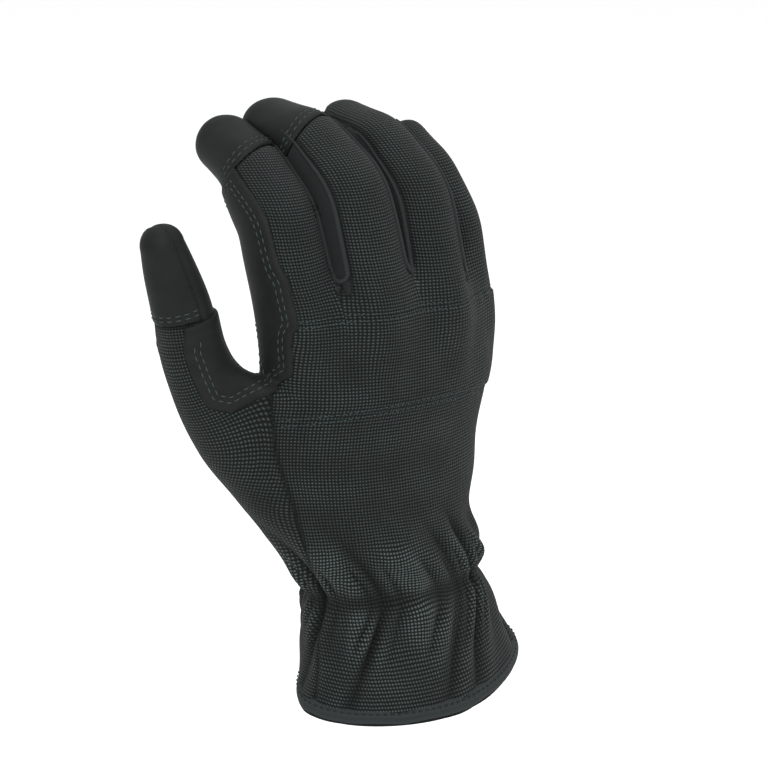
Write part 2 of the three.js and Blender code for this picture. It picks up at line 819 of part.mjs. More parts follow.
function addPiece(name, solid, material) {
  const mesh = solid.getMesh();
  const geometry = new THREE.BufferGeometry();
  geometry.setAttribute('position', new THREE.BufferAttribute(Float32Array.from(mesh.vertProperties), 3));
  geometry.setIndex(new THREE.BufferAttribute(Uint32Array.from(mesh.triVerts), 1));
  geometry.computeVertexNormals();
  const piece = new THREE.Mesh(geometry, material);
  piece.name = name;
  glove.add(piece);
}

const fabric = new THREE.MeshStandardMaterial({ color: 0x2d3434, roughness: 0.9, metalness: 0 });
const leather = new THREE.MeshStandardMaterial({ color: 0x272b2a, roughness: 0.6, metalness: 0 });
const twill = new THREE.MeshStandardMaterial({ color: 0x242a2a, roughness: 0.85, metalness: 0 });
const tapeCloth = new THREE.MeshStandardMaterial({ color: 0x3c4041, roughness: 0.85, metalness: 0 });

const [index, middle, ring, little] = fingers;

// Panels in the order in which they are cut from the shell; each leaves the seam gap to those after it
const panels = [
  { name: 'index_cap', material: leather, region: (grow) => capRegion(index, grow) },
  { name: 'middle_cap', material: leather, region: (grow) => capRegion(middle, grow) },
  {
    name: 'fourchette_index_middle', material: twill,
    region: (grow) => fourchetteRegion(index, middle, grow),
  },
  { name: 'fourchette_middle_ring', material: twill, region: (grow) => fourchetteRegion(middle, ring, grow) },
  { name: 'fourchette_ring_little', material: twill, region: (grow) => fourchetteRegion(ring, little, grow) },
  {
    name: 'thumb_cap', material: leather,
    region: (grow) => thumbRegion(thumbCapAt, thumbSeamNear, thumbSeamFar, grow),
  },
  {
    name: 'thumb_back', material: fabric,
    region: (grow) => sideRegion(grow).add(thumbRegion(thumbRootAt, thumbSeamNear, thumbSeamFar, grow)),
  },
  { name: 'thumb_front', material: leather, region: (grow) => thumbWholeRegion(thumbRootAt, grow) },
  { name: 'finger_backs', material: fabric, region: (grow) => backBetween(knuckleHigh, null, grow) },
  { name: 'knuckle_panel', material: fabric, region: (grow) => backBetween(knuckleLow, knuckleHigh, grow) },
  { name: 'back_panel', material: fabric, region: (grow) => backBetween(null, knuckleLow, grow) },
];

let rest = shell;
for (const panel of panels) {
  addPiece(panel.name, mainBody(rest.intersect(panel.region(0))), panel.material);
  rest = rest.subtract(panel.region(seamGap));
}
addPiece('palm_panel', mainBody(rest), leather);
const patch = patchForm(seamGap + patchThickness).subtract(patchForm(seamGap)).intersect(patchRegion());
addPiece('crotch_patch', mainBody(patch), leather);
addPiece('cuff_binding', bindingSolid(), tapeCloth);

export default glove;
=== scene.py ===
"""Synthetic leather work glove for the right hand, upright and filled as worn. Millimetres until a mesh is made.
+Z runs from the wrist to the fingers, -Y is the back of the hand, -X is the thumb side.
"""
import math

import bpy
import numpy as np
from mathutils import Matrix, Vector, kdtree


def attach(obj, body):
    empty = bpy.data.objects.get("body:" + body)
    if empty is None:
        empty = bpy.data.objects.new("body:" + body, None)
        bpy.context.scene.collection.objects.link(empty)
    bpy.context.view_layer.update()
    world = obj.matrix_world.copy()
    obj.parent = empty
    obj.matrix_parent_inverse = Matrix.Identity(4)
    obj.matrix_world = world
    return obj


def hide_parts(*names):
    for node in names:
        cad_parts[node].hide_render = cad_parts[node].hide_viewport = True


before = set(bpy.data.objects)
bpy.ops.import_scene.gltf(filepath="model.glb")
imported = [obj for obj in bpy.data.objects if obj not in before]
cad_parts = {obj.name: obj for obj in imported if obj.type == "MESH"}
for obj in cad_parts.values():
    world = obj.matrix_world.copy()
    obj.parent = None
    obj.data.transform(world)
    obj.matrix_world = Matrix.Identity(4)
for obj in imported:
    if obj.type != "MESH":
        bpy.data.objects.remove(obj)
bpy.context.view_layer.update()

# Sizes
CUFF_WIDTH, CUFF_DEPTH, CUFF_HEIGHT = 95.5, 61, 38
HEM_DROP, HEM_TURN, HEM_POINT = 8, math.radians(32), 0.3
WAIST_WIDTH, WAIST_DEPTH = 71, 46
PALM_WIDTH, PALM_DEPTH, PALM_ARCH = 100, 36, 12
HAND_HEIGHT, WRIST_SWAY, PALM_FORWARD, PAD_HEIGHT = 114, -5, 9, 1.3
FINGER_LENGTH, FINGER_WIDTH, FINGER_DEPTH = 106, 25, 28
THUMB_LENGTH, THUMB_WIDTH, THUMB_DEPTH = 88, 27, 28
WEB_THICKNESS = 11
WALL = 1.2

# Sections of the cuff: rise, flare, lean, sway, forward
CUFF_ROWS = np.array([
    [0.00, 1.00, 1.00, -0.20, 0.00],
    [0.12, 0.83, 0.90, -0.15, 0.06],
    [0.27, 0.53, 0.75, 0.10, 0.14],
    [0.45, 0.37, 0.55, 0.40, 0.25],
    [0.72, 0.24, 0.25, 0.62, 0.42],
    [0.90, 0.06, 0.08, 0.70, 0.50],
    [1.00, 0.00, 0.00, 0.80, 0.55],
])
# Sections above it: rise, spread, bulk, thin, arch, sway, forward, round, raise
HAND_ROWS = np.array([
    [0.05, 0.04, 0.1, 1.00, 0.0, 0.8, 0.66, 2.0, 0],
    [0.13, 0.10, 0.2, 1.00, 0.1, 0.8, 0.74, 2.1, 0],
    [0.26, 0.24, 0.4, 1.00, 0.3, 1.1, 0.82, 2.2, 0],
    [0.42, 0.46, 0.7, 1.00, 0.6, 1.1, 0.90, 2.3, 0],
    [0.57, 0.78, 0.9, 1.00, 0.8, 0.5, 0.94, 2.4, 0],
    [0.60, 0.84, 1.0, 1.00, 0.9, 0.0, 0.96, 2.4, 1],
    [0.87, 0.84, 1.0, 1.00, 1.0, -0.3, 1.25, 2.3, 1],
    [0.96, 0.74, 1.0, 0.92, 1.0, -0.4, 1.56, 2.1, 0],
    [1.00, 0.66, 1.0, 0.80, 1.0, -0.4, 1.70, 2.0, 0],
])
NO_SHIFT = (0, 0, 0, 0, 0, 0, 0)
FINGERS = [
    dict(name="index", aside=-0.362, forward=0.44, rise=0.80, long=0.875, stout=1.01, splay=1.4, bends=(18, 32, 22),
         lows=(0.35, 0.72), shift=(3.6, 3.0, 0.0, -1.3, -0.9, 0.6, 1.6), wide=(0.96, 1.15)),
    dict(name="middle", aside=-0.105, forward=0.12, rise=0.82, long=1.005, stout=0.98, splay=-2, bends=(18, 38, 30),
         lows=(0.5, 0.7), shift=(0.0, 0.0, 0.3, 0.5, 0.3, 0.2, 0.7), wide=(1.13, 1.10)),
    dict(name="ring", aside=0.145, forward=0.09, rise=0.81, long=0.94, stout=0.96, splay=0, bends=(16, 36, 30),
         lows=(0.5, 0.7), shift=NO_SHIFT, wide=(1.03, 1.03)),
    dict(name="little", aside=0.375, forward=0.46, rise=0.76, long=0.75, stout=0.84, splay=-4, bends=(6, 26, 26),
         lows=(0.5, -0.1), shift=NO_SHIFT, wide=(1.03, 0.98)),
]
JOINTS, JOINT_SPAN = (0.0, 0.45, 0.72), 0.16
TIP_SIZE, TIP_FLAT = 0.82, 0.15
FINGER_DOME, THUMB_DOME, TUBE_ROOT, TUBE_POWER = 3.5, 2.1, 9, 2.1
FINGER_FROM, FINGER_STEP = -0.28, 0.004
SHIFT_AT = [FINGER_FROM, 0.0, 0.2, 0.4, 0.6, 0.8, 1.0]
GIRTH_AT = [FINGER_FROM, -0.12, 0.0, 0.25, 0.45, 0.62, 0.80, 1.0]
GIRTH = [0.55, 0.86, 1.04, 1.03, 1.00, 0.94, 0.86, 0.80]
WEB_BLEND, THUMB_BLEND, FINGER_BLEND = 8, 5, 4
GRID_LOW, GRID_HIGH, CELL, QUICK_CELL = (-98, -46, -14), (62, 84, 216), 1.1, 1.6
# Curve of the thumb: x, y, z, size
THUMB_ROWS = np.array([
    [-0.44, 0.26, 0.86, 0.80],
    [-0.61, 0.31, 1.04, 0.98],
    [-0.715, 0.35, 1.22, 0.95],
    [-0.800, 0.37, 1.42, 0.82],
    [-0.840, 0.38, 1.62, 0.78],
    [-0.900, 0.38, 1.81, 0.66],
    [-0.960, 0.38, 2.01, 0.42],
])
THUMB_FACING = np.array([-0.72, -0.69, 0.0])
THUMB_DOME_AT = 0.9
# Web between thumb and palm: rise, thumb x, thumb y, reach, thick, palm x, palm y
WEB_ROWS = np.array([
    [0.02, -0.21, 0.09, 0.49, 1.10, -0.10, 0.08],
    [0.15, -0.325, 0.12, 0.555, 1.10, -0.10, 0.09],
    [0.28, -0.435, 0.17, 0.57, 1.08, -0.12, 0.10],
    [0.42, -0.54, 0.23, 0.55, 1.02, -0.16, 0.12],
    [0.54, -0.60, 0.27, 0.50, 0.92, -0.26, 0.14],
    [0.61, -0.63, 0.29, 0.45, 0.76, -0.40, 0.17],
    [0.67, -0.66, 0.30, 0.38, 0.52, -0.54, 0.20],
    [0.71, -0.67, 0.30, 0.30, 0.24, -0.60, 0.24],
])
# Seams: rise, x, y and, for the first two, turn
LONG_SEAM = np.array([
    [-1.30, -0.43, -0.03, 10], [-1.00, -0.43, -0.03, 10], [0.00, -0.39, -0.01, 15], [0.16, -0.43, 0.02, 40],
    [0.35, -0.49, 0.06, 70], [0.47, -0.52, 0.09, 75], [0.66, -0.50, 0.17, 75],
])
HEEL_SEAM = np.array([
    [-1.30, -0.36, 0.17, -40], [-1.00, -0.36, 0.17, -40], [0.00, -0.33, 0.19, -55], [0.16, -0.43, 0.27, -62],
    [0.35, -0.55, 0.33, -66], [0.47, -0.64, 0.38, -66], [0.66, -0.71, 0.43, -66],
])
OUTER_SEAM = np.array([
    [-1.30, 0.44, 0.00], [-1.00, 0.44, 0.00], [0.00, 0.30, 0.05], [0.16, 0.32, 0.07], [0.35, 0.36, 0.10],
    [0.47, 0.42, 0.14], [0.66, 0.46, 0.18],
])
SEAM_INSET, SEAM_BEYOND, SIDE_TOP = 5, 26, 0.66
GATHER_AT = 37.0
GAP_END, GAP_BOTTOM, GAP_TURNS, GAP_ROLL = 0.74, 0.19, (46, 29), 0.85
KNUCKLE_LOW, KNUCKLE_HIGH = 105.8, 139.6
CAP_EDGE, CAP_SLOPE, FINGER_BACK_FROM = 0.71, -0.3, -0.1
FOURCHETTE_END, FOURCHETTE_LOW, WEB_SHARE = 0.8, -0.5, 0.13
THUMB_ROOT_AT, THUMB_CAP_AT, THUMB_NEAR, THUMB_FAR = 0.2, 0.645, 42, 200
# Saddle patch seen from the back: x, rise
PATCH_OUTLINE = np.array([
    [-0.484, 0.800], [-0.476, 0.722], [-0.500, 0.690], [-0.540, 0.678], [-0.590, 0.662], [-0.655, 0.642],
    [-0.698, 0.655],
    [-0.730, 0.735], [-0.752, 0.800], [-0.752, 0.940], [-0.620, 0.940], [-0.600, 0.740], [-0.600, 1.000],
    [-0.484, 1.000],
])
PATCH_FROM, PATCH_TO, PATCH_HIGH, PATCH_ROUND = 0.06, 0.68, 262, 4
PATCH_LOW = ([0, 0.25, 0.6, 1], [131, 131, 136, 152])
# Folds at the elastic: how many in a turn, how high, and how much of that above the elastic and low on the cuff
FINE_FOLDS, FINE_HIGH, FINE_ABOVE = 25, 1.5, 1.1
BROAD_FOLDS, BROAD_HIGH, BROAD_ABOVE, BROAD_CUFF = 9, 1.8, 1.3, 0.8
# Slant of the folds, pinch at the elastic, hollow above it on the outer back and slow waves of the back
FOLD_SLANT, PINCH_DEEP, PINCH_WIDE = 0.017, 1.3, 2.6
WRIST_HOLLOW, WRIST_HOLLOW_TURN, BACK_WAVE = 3.2, 0.5, 0.3
# Weave pulled askew beside the elastic
WEAVE_PULL_ACROSS, WEAVE_PULL_ALONG = 0.5, 0.9
# Raised band over the knuckles and the puckers at its stitches
BAND_HIGH, BAND_OUTER_HIGH, BAND_PUCKER, BAND_PUCKER_PITCH = 0.2, 0.6, 0.12, 5.5
# Edges: how far they dip at a seam and how wide, and how far the caps and the patch stand out
SEAM_DIP, SEAM_WIDE = 0.65, 1.1
CAP_RAISE, CAP_SINK, ROW_DIP = 0.55, 0.1, 0.18
PATCH_RAISE, PATCH_EDGE, PATCH_ROW_DIP, PATCH_WALL = 0.9, 0.4, 0.2, 1.2
# Tape round the hem: height, half its thickness, how high its middle is, steps round the hem
TAPE_HEIGHT, TAPE_HALF, TAPE_MIDDLE, TAPE_TURNS = 4.3, 1.6, 2.9, 360
# Painted shade: how much darker the cloth's colour is made on the cuff and at seams
CUFF_SHADE, SEAM_SHADE = 1.1, 2.2
# Rows of stitches, from the edge in; over the knuckles, from the middle of each double row
CAP_ROWS_AT, THUMB_ROWS_AT, PATCH_ROWS_AT, KNUCKLE_ROWS_AT = (1.8, 3.6), (2.5, 4.3), (3.4, 5.2), (-1.1, 1.1)
# One stitch, from end to end: its rise over the cloth and its girth
STITCH_RISE = np.array([-0.9, 0.6, 1.0, 0.6, -0.9])
STITCH_GIRTH = np.array([0.45, 0.9, 1.0, 0.9, 0.45])
STITCH_SIDES = 6


def smooth(t):
    u = np.clip(t, 0, 1)
    return u * u * (3 - 2 * u)


def smin(a, b, k):
    h = np.maximum(k - np.abs(a - b), 0) / k
    return np.minimum(a, b) - h * h * k / 4


def smax(a, b, k):
    return -smin(-a, -b, k)


def hump(value, place, width):
    return np.exp(-((value - place) / width) ** 2)


def pair(x, y):
    return np.stack([x, y], 1)


def unit(rows):
    return rows / np.linalg.norm(rows, axis=1)[:, None]


def run_of(line):
    """Length along a line up to each of its points."""
    return np.concatenate([[0], np.cumsum(np.linalg.norm(np.diff(line, axis=0), axis=1))])


def read_off(t, at, rows):
    """Rows of three numbers, known at some places of a line, at the places t."""
    return np.stack([np.interp(t, at, rows[:, m]) for m in range(3)], 1)


def blur(values, sigma):
    """A gaussian blur of a table of evenly spaced values, ends held."""
    reach = int(4 * sigma)
    kernel = np.exp(-0.5 * (np.arange(-reach, reach + 1) / sigma) ** 2)
    kernel /= kernel.sum()
    head = values[0] + (values[0] - values[1]) * np.arange(reach, 0, -1)
    tail = values[-1] + (values[-1] - values[-2]) * np.arange(1, reach + 1)
    return np.convolve(np.concatenate([head, values, tail]), kernel, "valid")


def noise(p, scale, seed=0):
    """Slow smooth noise from -1 to 1 at points in mm."""
    rng = np.random.RandomState(seed)
    total = np.zeros(len(p))
    for _ in range(7):
        way = rng.normal(size=p.shape[1])
        way /= np.linalg.norm(way)
        wave = 2 * math.pi / (scale * rng.uniform(0.7, 1.5))
        total += np.sin(p @ way * wave + rng.uniform(0, 6.28))
    return total / 3.5


# The body's sections, evenly spaced in height
STEP = 0.5
LEVELS = np.arange(-24, 178, STEP)


def body_tables():
    rows = []
    for rise, flare, lean, sway, forward in CUFF_ROWS:
        rows.append([rise * CUFF_HEIGHT, sway * WRIST_SWAY, forward * PALM_FORWARD,
                     WAIST_WIDTH + (CUFF_WIDTH - WAIST_WIDTH) * flare,
                     WAIST_DEPTH + (CUFF_DEPTH - WAIST_DEPTH) * flare, lean * HEM_DROP, 0,
                     2 - HEM_POINT * flare ** 2, 0])
    for rise, spread, bulk, thin, arch, sway, forward, power, lift in HAND_ROWS:
        rows.append([CUFF_HEIGHT + rise * HAND_HEIGHT, sway * WRIST_SWAY, forward * PALM_FORWARD,
                     WAIST_WIDTH + (PALM_WIDTH - WAIST_WIDTH) * spread,
                     (WAIST_DEPTH + (PALM_DEPTH - WAIST_DEPTH) * bulk) * thin, 0, arch * PALM_ARCH, power,
                     lift * PAD_HEIGHT])
    rows = np.array(rows)
    first = rows[0] + (rows[0] - rows[1]) * 24 / (rows[1, 0] - rows[0, 0])
    rows = np.vstack([first, rows])
    names = ["x", "y", "width", "depth", "lean", "arch", "power", "lift"]
    sigma = dict(lift=2.0)
    return {n: blur(np.interp(LEVELS, rows[:, 0], rows[:, i + 1]), sigma.get(n, 3.5) / STEP)
            for i, n in enumerate(names)}


BODY = body_tables()


def level(name, z):
    return np.interp(z, LEVELS, BODY[name])


def half(name, z):
    return np.interp(z, LEVELS, BODY[name]) / 2


def body_place(p):
    """Height along the hand, and the place in the section there, of points."""
    x, y, z = p.T
    along = z
    for _ in range(3):
        across = np.clip((x - level("x", along)) / half("width", along), -1.3, 1.3)
        back = np.clip(-(y - level("y", along)) / half("depth", along), -1.3, 1.3)
        along = z + level("lean", along) * (back * math.cos(HEM_TURN) - across * math.sin(HEM_TURN))
    px = x - level("x", along)
    py = -(y - level("y", along) - level("arch", along) * (px / (PALM_WIDTH / 2)) ** 2)
    return along, px, py


def oval(px, py, a, b, power):
    """A superellipse's own measure, which is 1 on it, and how fast it grows."""
    u, v = np.abs(px) / a + 1e-6, np.abs(py) / b + 1e-6
    n = (u ** power + v ** power) ** (1 / power)
    return n, n ** (1 - power) * np.hypot(u ** (power - 1) / a, v ** (power - 1) / b)


def oval_distance(px, py, a, b, power):
    n, slope = oval(px, py, a, b, power)
    return (n - 1) / slope


def body_field(p):
    along, px, py = body_place(p)
    lift = level("lift", along) * smooth(py / half("depth", along))
    f = oval_distance(px, py, half("width", along), half("depth", along) + lift, level("power", along))
    return smax(f, along - (CUFF_HEIGHT + HAND_HEIGHT), 5)


# Fingers and thumb as tubes round a curve
class Tube:
    def __init__(self, at, points, across, a, b, tip, dome, wide=(1, 1)):
        self.at = np.array(at)
        self.points = np.array(points)
        self.along = unit(np.gradient(self.points, axis=0))
        self.across = unit(across - self.along * np.sum(across * self.along, axis=1)[:, None])
        self.dorsal = np.cross(self.across, self.along)
        self.a, self.b, self.tip, self.dome, self.wide = a, b, tip, dome, wide
        self.run = run_of(self.points)
        self.rate = np.gradient(self.at) / np.gradient(self.run)
        self.curve = np.gradient(self.along, axis=0) / np.gradient(self.run)[:, None]

    def place(self, p):
        """Nearest place on the curve: share, run past either end, and the two coordinates across."""
        near = np.empty(len(p), dtype=int)
        for i in range(0, len(p), 200000):
            part = p[i:i + 200000]
            near[i:i + 200000] = np.argmin(
                np.sum(self.points ** 2, axis=1)[None] - 2 * part @ self.points.T, axis=1)
        d = p - self.points[near]
        run = np.sum(d * self.along[near], axis=1)
        run = run / np.maximum(1 - np.sum(d * self.curve[near], axis=1), 0.4)
        last = len(self.at) - 1
        past = np.where((near == last) & (run > 0), run, 0) + np.where((near == 0) & (run < 0), run, 0)
        at = self.at[near] + run * self.rate[near]
        px = np.sum(d * self.across[near], axis=1)
        py = np.sum(d * self.dorsal[near], axis=1)
        return at, past, px, py

    def half(self, at):
        return np.interp(at, self.at, self.a), np.interp(at, self.at, self.b)

    def run_at(self, share):
        return np.interp(share, self.at, self.run)

    def found(self, p):
        """All of a point's places on the tube, by name."""
        at, past, px, py = self.place(p)
        a, b = self.half(at)
        return dict(at=at, run=self.run_at(at) + past, px=px, py=py, a=a, b=b)

    def field(self, p):
        f = np.full(len(p), 30.0)
        low, high = self.points.min(0) - 28, self.points.max(0) + 28
        close = np.all((p > low) & (p < high), axis=1)
        at, past, px, py = self.place(p[close])
        a, b = self.half(at)
        a = a * np.where(px < 0, self.wide[0], self.wide[1])
        n2, g = oval(px, py, a, b, TUBE_POWER)
        end = np.where(past > 0, self.tip, TUBE_ROOT)
        w, dome = np.abs(past) / end, self.dome
        n = (n2 ** dome + w ** dome) ** (1 / dome) + 1e-9
        slope = np.hypot(g * n2 ** (dome - 1), w ** (dome - 1) / end) / n ** (dome - 1)
        f[close] = (n - 1) / np.maximum(slope, 1e-3)
        return f


def finger_tube(finger):
    length = finger["long"] * FINGER_LENGTH
    tip = 0.5 * FINGER_WIDTH * finger["stout"] * TIP_SIZE
    splay = math.radians(finger["splay"])
    up = np.array([math.sin(splay), 0, math.cos(splay)])
    palmward = np.array([0.0, 1, 0])
    start = np.array([finger["aside"] * PALM_WIDTH, finger["forward"] * PALM_DEPTH,
                      CUFF_HEIGHT + finger["rise"] * HAND_HEIGHT])
    fine = np.arange(FINGER_FROM, 1 - tip / length, FINGER_STEP)

    def bend(s):
        total = np.zeros_like(s)
        for joint, angle in zip(JOINTS, finger["bends"]):
            total += angle * smooth((s - joint) / JOINT_SPAN + 0.5)
        return np.radians(total)

    turn = bend(fine + FINGER_STEP / 2)
    way = np.cos(turn)[:, None] * up + np.sin(turn)[:, None] * palmward
    path = np.vstack([[0, 0, 0], np.cumsum(way * FINGER_STEP * length, axis=0)[:-1]])
    path = path - path[np.argmin(np.abs(fine))] + start
    aside = blur(np.interp(fine, SHIFT_AT, finger["shift"]), 16)
    path = path + aside[:, None] * np.cross(palmward, up)
    pick = np.arange(0, len(fine), 3)
    if pick[-1] != len(fine) - 1:
        pick = np.append(pick, len(fine) - 1)
    at = fine[pick]
    size = blur(np.interp(fine, GIRTH_AT, GIRTH), 12)[pick] * finger["stout"]
    across = np.repeat(np.cross(palmward, up)[None], len(at), axis=0)
    flat = 1 - TIP_FLAT * smooth((at - 0.5) / 0.35)
    tube = Tube(at, path[pick], across, size * FINGER_WIDTH / 2, size * flat * FINGER_DEPTH / 2, tip,
                FINGER_DOME, finger["wide"])
    tube.turn = turn[pick]
    return tube


def thumb_tube():
    points = THUMB_ROWS[:, :3] * THUMB_LENGTH
    points = np.vstack([2 * points[0] - points[1], points, 2 * points[-1] - points[-2]])
    at = np.linspace(0, THUMB_DOME_AT, 56)
    place, size = [], []
    last = len(THUMB_ROWS) - 1
    for t in at:
        k = min(last - 1, int(t * last))
        u = t * last - k
        p0, p1, p2, p3 = points[k:k + 4]
        d0, d1, d2 = (np.linalg.norm(b - a) ** 0.5 for a, b in ((p0, p1), (p1, p2), (p2, p3)))
        m1 = ((p1 - p0) / d0 - (p2 - p0) / (d0 + d1) + (p2 - p1) / d1) * d1
        m2 = ((p2 - p1) / d1 - (p3 - p1) / (d1 + d2) + (p3 - p2) / d2) * d1
        place.append(p1 * (2 * u ** 3 - 3 * u ** 2 + 1) + m1 * (u ** 3 - 2 * u ** 2 + u)
                     + p2 * (3 * u ** 2 - 2 * u ** 3) + m2 * (u ** 3 - u ** 2))
        size.append(THUMB_ROWS[k, 3] * (1 - u) + THUMB_ROWS[k + 1, 3] * u)
    size = blur(np.array(size), 3)
    place = np.array(place)
    along = np.gradient(place, axis=0)
    across = np.cross(along, THUMB_FACING[None])
    return Tube(at, place, across, size * THUMB_WIDTH / 2, size * THUMB_DEPTH / 2, size[-1] * THUMB_WIDTH / 2,
                THUMB_DOME)


TUBES = [finger_tube(f) for f in FINGERS]
THUMB = thumb_tube()
WEB_LEVELS = np.arange(20, 140, STEP)
WEB = [blur(np.interp(WEB_LEVELS, CUFF_HEIGHT + WEB_ROWS[:, 0] * HAND_HEIGHT, WEB_ROWS[:, i]), 3 / STEP)
       for i in range(7)]


def web_field(p):
    x, y, z = p.T
    row = [np.interp(z, WEB_LEVELS, column) for column in WEB]
    thin = np.minimum(1, row[4])
    ends = [(row[1] * PALM_WIDTH, row[2] * PALM_WIDTH, row[3] * THUMB_WIDTH, row[4] * THUMB_DEPTH / 2),
            (row[5] * PALM_WIDTH, row[6] * PALM_WIDTH, WEB_THICKNESS * thin, WEB_THICKNESS * thin)]
    ovals = []
    for t in np.linspace(0, 1, 9):
        cx, cy, a, b = (m * (1 - t) + n * t for m, n in zip(*ends))
        ovals.append(oval_distance(x - cx, y - cy, a, b, 2))
    f = smax(np.minimum.reduce(ovals), z - (CUFF_HEIGHT + WEB_ROWS[-1, 0] * HAND_HEIGHT), 4)
    return smax(f, CUFF_HEIGHT - z, 4)


def glove_field(p):
    hand = smin(body_field(p), web_field(p), WEB_BLEND)
    hand = smin(hand, THUMB.field(p), THUMB_BLEND)
    return np.minimum.reduce([smin(hand, tube.field(p), FINGER_BLEND) for tube in TUBES])


# Surface of the field
def surface(cell):
    low, high = np.array(GRID_LOW, float), np.array(GRID_HIGH, float)
    count = np.ceil((high - low) / cell).astype(int) + 1
    axes = [low[k] + cell * np.arange(count[k]) for k in range(3)]
    f = np.empty(count)
    for i in range(count[0]):
        gy, gz = np.meshgrid(axes[1], axes[2], indexing="ij")
        p = np.stack([np.full(gy.size, axes[0][i]), gy.ravel(), gz.ravel()], axis=1)
        f[i] = glove_field(p).reshape(gy.shape)
    inside = f < 0
    cells = count - 1
    total = np.zeros((cells.prod(), 3))
    hits = np.zeros(cells.prod())
    stride = np.array([cells[1] * cells[2], cells[2], 1])
    quads = []
    for k in range(3):
        a, b = [slice(None)] * 3, [slice(None)] * 3
        a[k], b[k] = slice(0, -1), slice(1, None)
        cross = inside[tuple(a)] != inside[tuple(b)]
        i, j = [m for m in range(3) if m != k]
        for side in (i, j):
            for end in (0, -1):
                cross[tuple(end if m == side else slice(None) for m in range(3))] = False
        at = np.argwhere(cross)
        fa, fb = f[tuple(a)][cross], f[tuple(b)][cross]
        place = at.astype(float)
        place[:, k] += fa / (fa - fb)
        place = low + place * cell
        around = []
        for di, dj in ((0, 0), (-1, 0), (-1, -1), (0, -1)):
            c = at.copy()
            c[:, i] += di
            c[:, j] += dj
            flat = c @ stride
            around.append(flat)
            for m in range(3):
                total[:, m] += np.bincount(flat, weights=place[:, m], minlength=len(hits))
            hits += np.bincount(flat, minlength=len(hits))
        quad = np.stack(around, axis=1)
        flip = (fa > 0) if k != 1 else (fa < 0)
        quad[flip] = quad[flip][:, ::-1]
        quads.append(quad)
    quads = np.vstack(quads)
    used = np.flatnonzero(hits)
    number = np.full(len(hits), -1)
    number[used] = np.arange(len(used))
    return total[used] / hits[used][:, None], number[quads]


def normals(points, faces):
    tri = points[faces]
    n = np.cross(tri[:, 1] - tri[:, 0], tri[:, 2] - tri[:, 0])
    out = np.stack([np.bincount(faces.ravel(), weights=np.repeat(n[:, m], 3), minlength=len(points))
                    for m in range(3)], axis=1)
    return out / np.maximum(np.linalg.norm(out, axis=1)[:, None], 1e-12)


def settle(points, rounds):
    """Moves points onto the field's surface."""
    for _ in range(rounds):
        f = glove_field(points)
        g = np.stack([(glove_field(points + e) - f) / 0.2 for e in np.eye(3) * 0.2], axis=1)
        step = f / np.maximum(np.sum(g * g, axis=1), 0.2)
        points = points - np.clip(step, -1, 1)[:, None] * g
    return points


def edges_of(faces):
    return np.vstack([faces[:, [0, 1]], faces[:, [1, 2]], faces[:, [2, 0]]])


def inside_out(points, faces):
    a, b, c = (points[faces[:, m]] - points.mean(0) for m in range(3))
    return np.sum(a * np.cross(b, c)) < 0


def relax(points, faces, amount):
    edges = edges_of(faces)
    degree = np.bincount(edges.ravel(), minlength=len(points))
    mean = np.stack([np.bincount(edges[:, 0], weights=points[edges[:, 1], m], minlength=len(points))
                     + np.bincount(edges[:, 1], weights=points[edges[:, 0], m], minlength=len(points))
                     for m in range(3)], axis=1) / np.maximum(degree, 1)[:, None]
    return points + (mean - points) * amount


def compact(points, faces, data):
    """The same faces with only the points that they use."""
    used = np.unique(faces)
    number = np.full(len(points), -1)
    number[used] = np.arange(len(used))
    return points[used], number[faces], data[used]


def clip(mesh, g):
    """Cuts a mesh where the field g is zero: the part below zero and the part above it."""
    points, faces, data = mesh
    side = g < 0
    count = side[faces].sum(axis=1)
    mixed = (count == 1) | (count == 2)
    cut, lone_low = faces[mixed], count[mixed] == 1
    turn = np.argmax(side[cut] == lone_low[:, None], axis=1)
    a, b, c = cut[np.arange(len(cut))[:, None], (turn[:, None] + np.arange(3)) % 3].T
    pairs = np.sort(np.vstack([pair(a, b), pair(a, c)]), axis=1)
    unique, back = np.unique(pairs, axis=0, return_inverse=True)
    one, other = unique.T
    t = np.clip(g[one] / (g[one] - g[other]), 0.02, 0.98)[:, None]
    points = np.vstack([points, points[one] * (1 - t) + points[other] * t])
    data = np.vstack([data, data[one] * (1 - t) + data[other] * t])
    ab, ac = np.split(len(g) + back.ravel(), 2)
    parts = []
    for whole, lone in ((count == 3, lone_low), (count == 0, ~lone_low)):
        kept = [faces[whole], np.stack([a, ab, ac], 1)[lone], np.stack([ab, b, c], 1)[~lone],
                np.stack([ab, c, ac], 1)[~lone]]
        parts.append(compact(points, np.vstack(kept), data))
    return parts


# Where each panel lies
def polygon_distance(px, py, corners):
    """Signed distance from a polygon; its corners may differ from point to point."""
    x, y = px[:, None], py[:, None]
    a = corners
    b = np.roll(corners, -1, axis=1)
    ex, ey = b[..., 0] - a[..., 0], b[..., 1] - a[..., 1]
    wx, wy = x - a[..., 0], y - a[..., 1]
    t = np.clip((wx * ex + wy * ey) / np.maximum(ex * ex + ey * ey, 1e-9), 0, 1)
    near = np.hypot(wx - ex * t, wy - ey * t).min(axis=1)
    up = (a[..., 1] <= y) & (b[..., 1] > y) & (ex * wy - ey * wx > 0)
    down = (a[..., 1] > y) & (b[..., 1] <= y) & (ex * wy - ey * wx < 0)
    inside = (up.sum(axis=1) - down.sum(axis=1)) != 0
    return np.where(inside, -near, near)


def seam_at(rows, z):
    """A seam's columns at heights z, smoothed along it."""
    height = CUFF_HEIGHT + rows[:, 0] * np.where(rows[:, 0] < 0, CUFF_HEIGHT, HAND_HEIGHT)
    fine = np.arange(-20, 200, STEP)
    return [np.interp(z, fine, blur(np.interp(fine, height, rows[:, i]), 3 / STEP)) for i in range(1, rows.shape[1])]


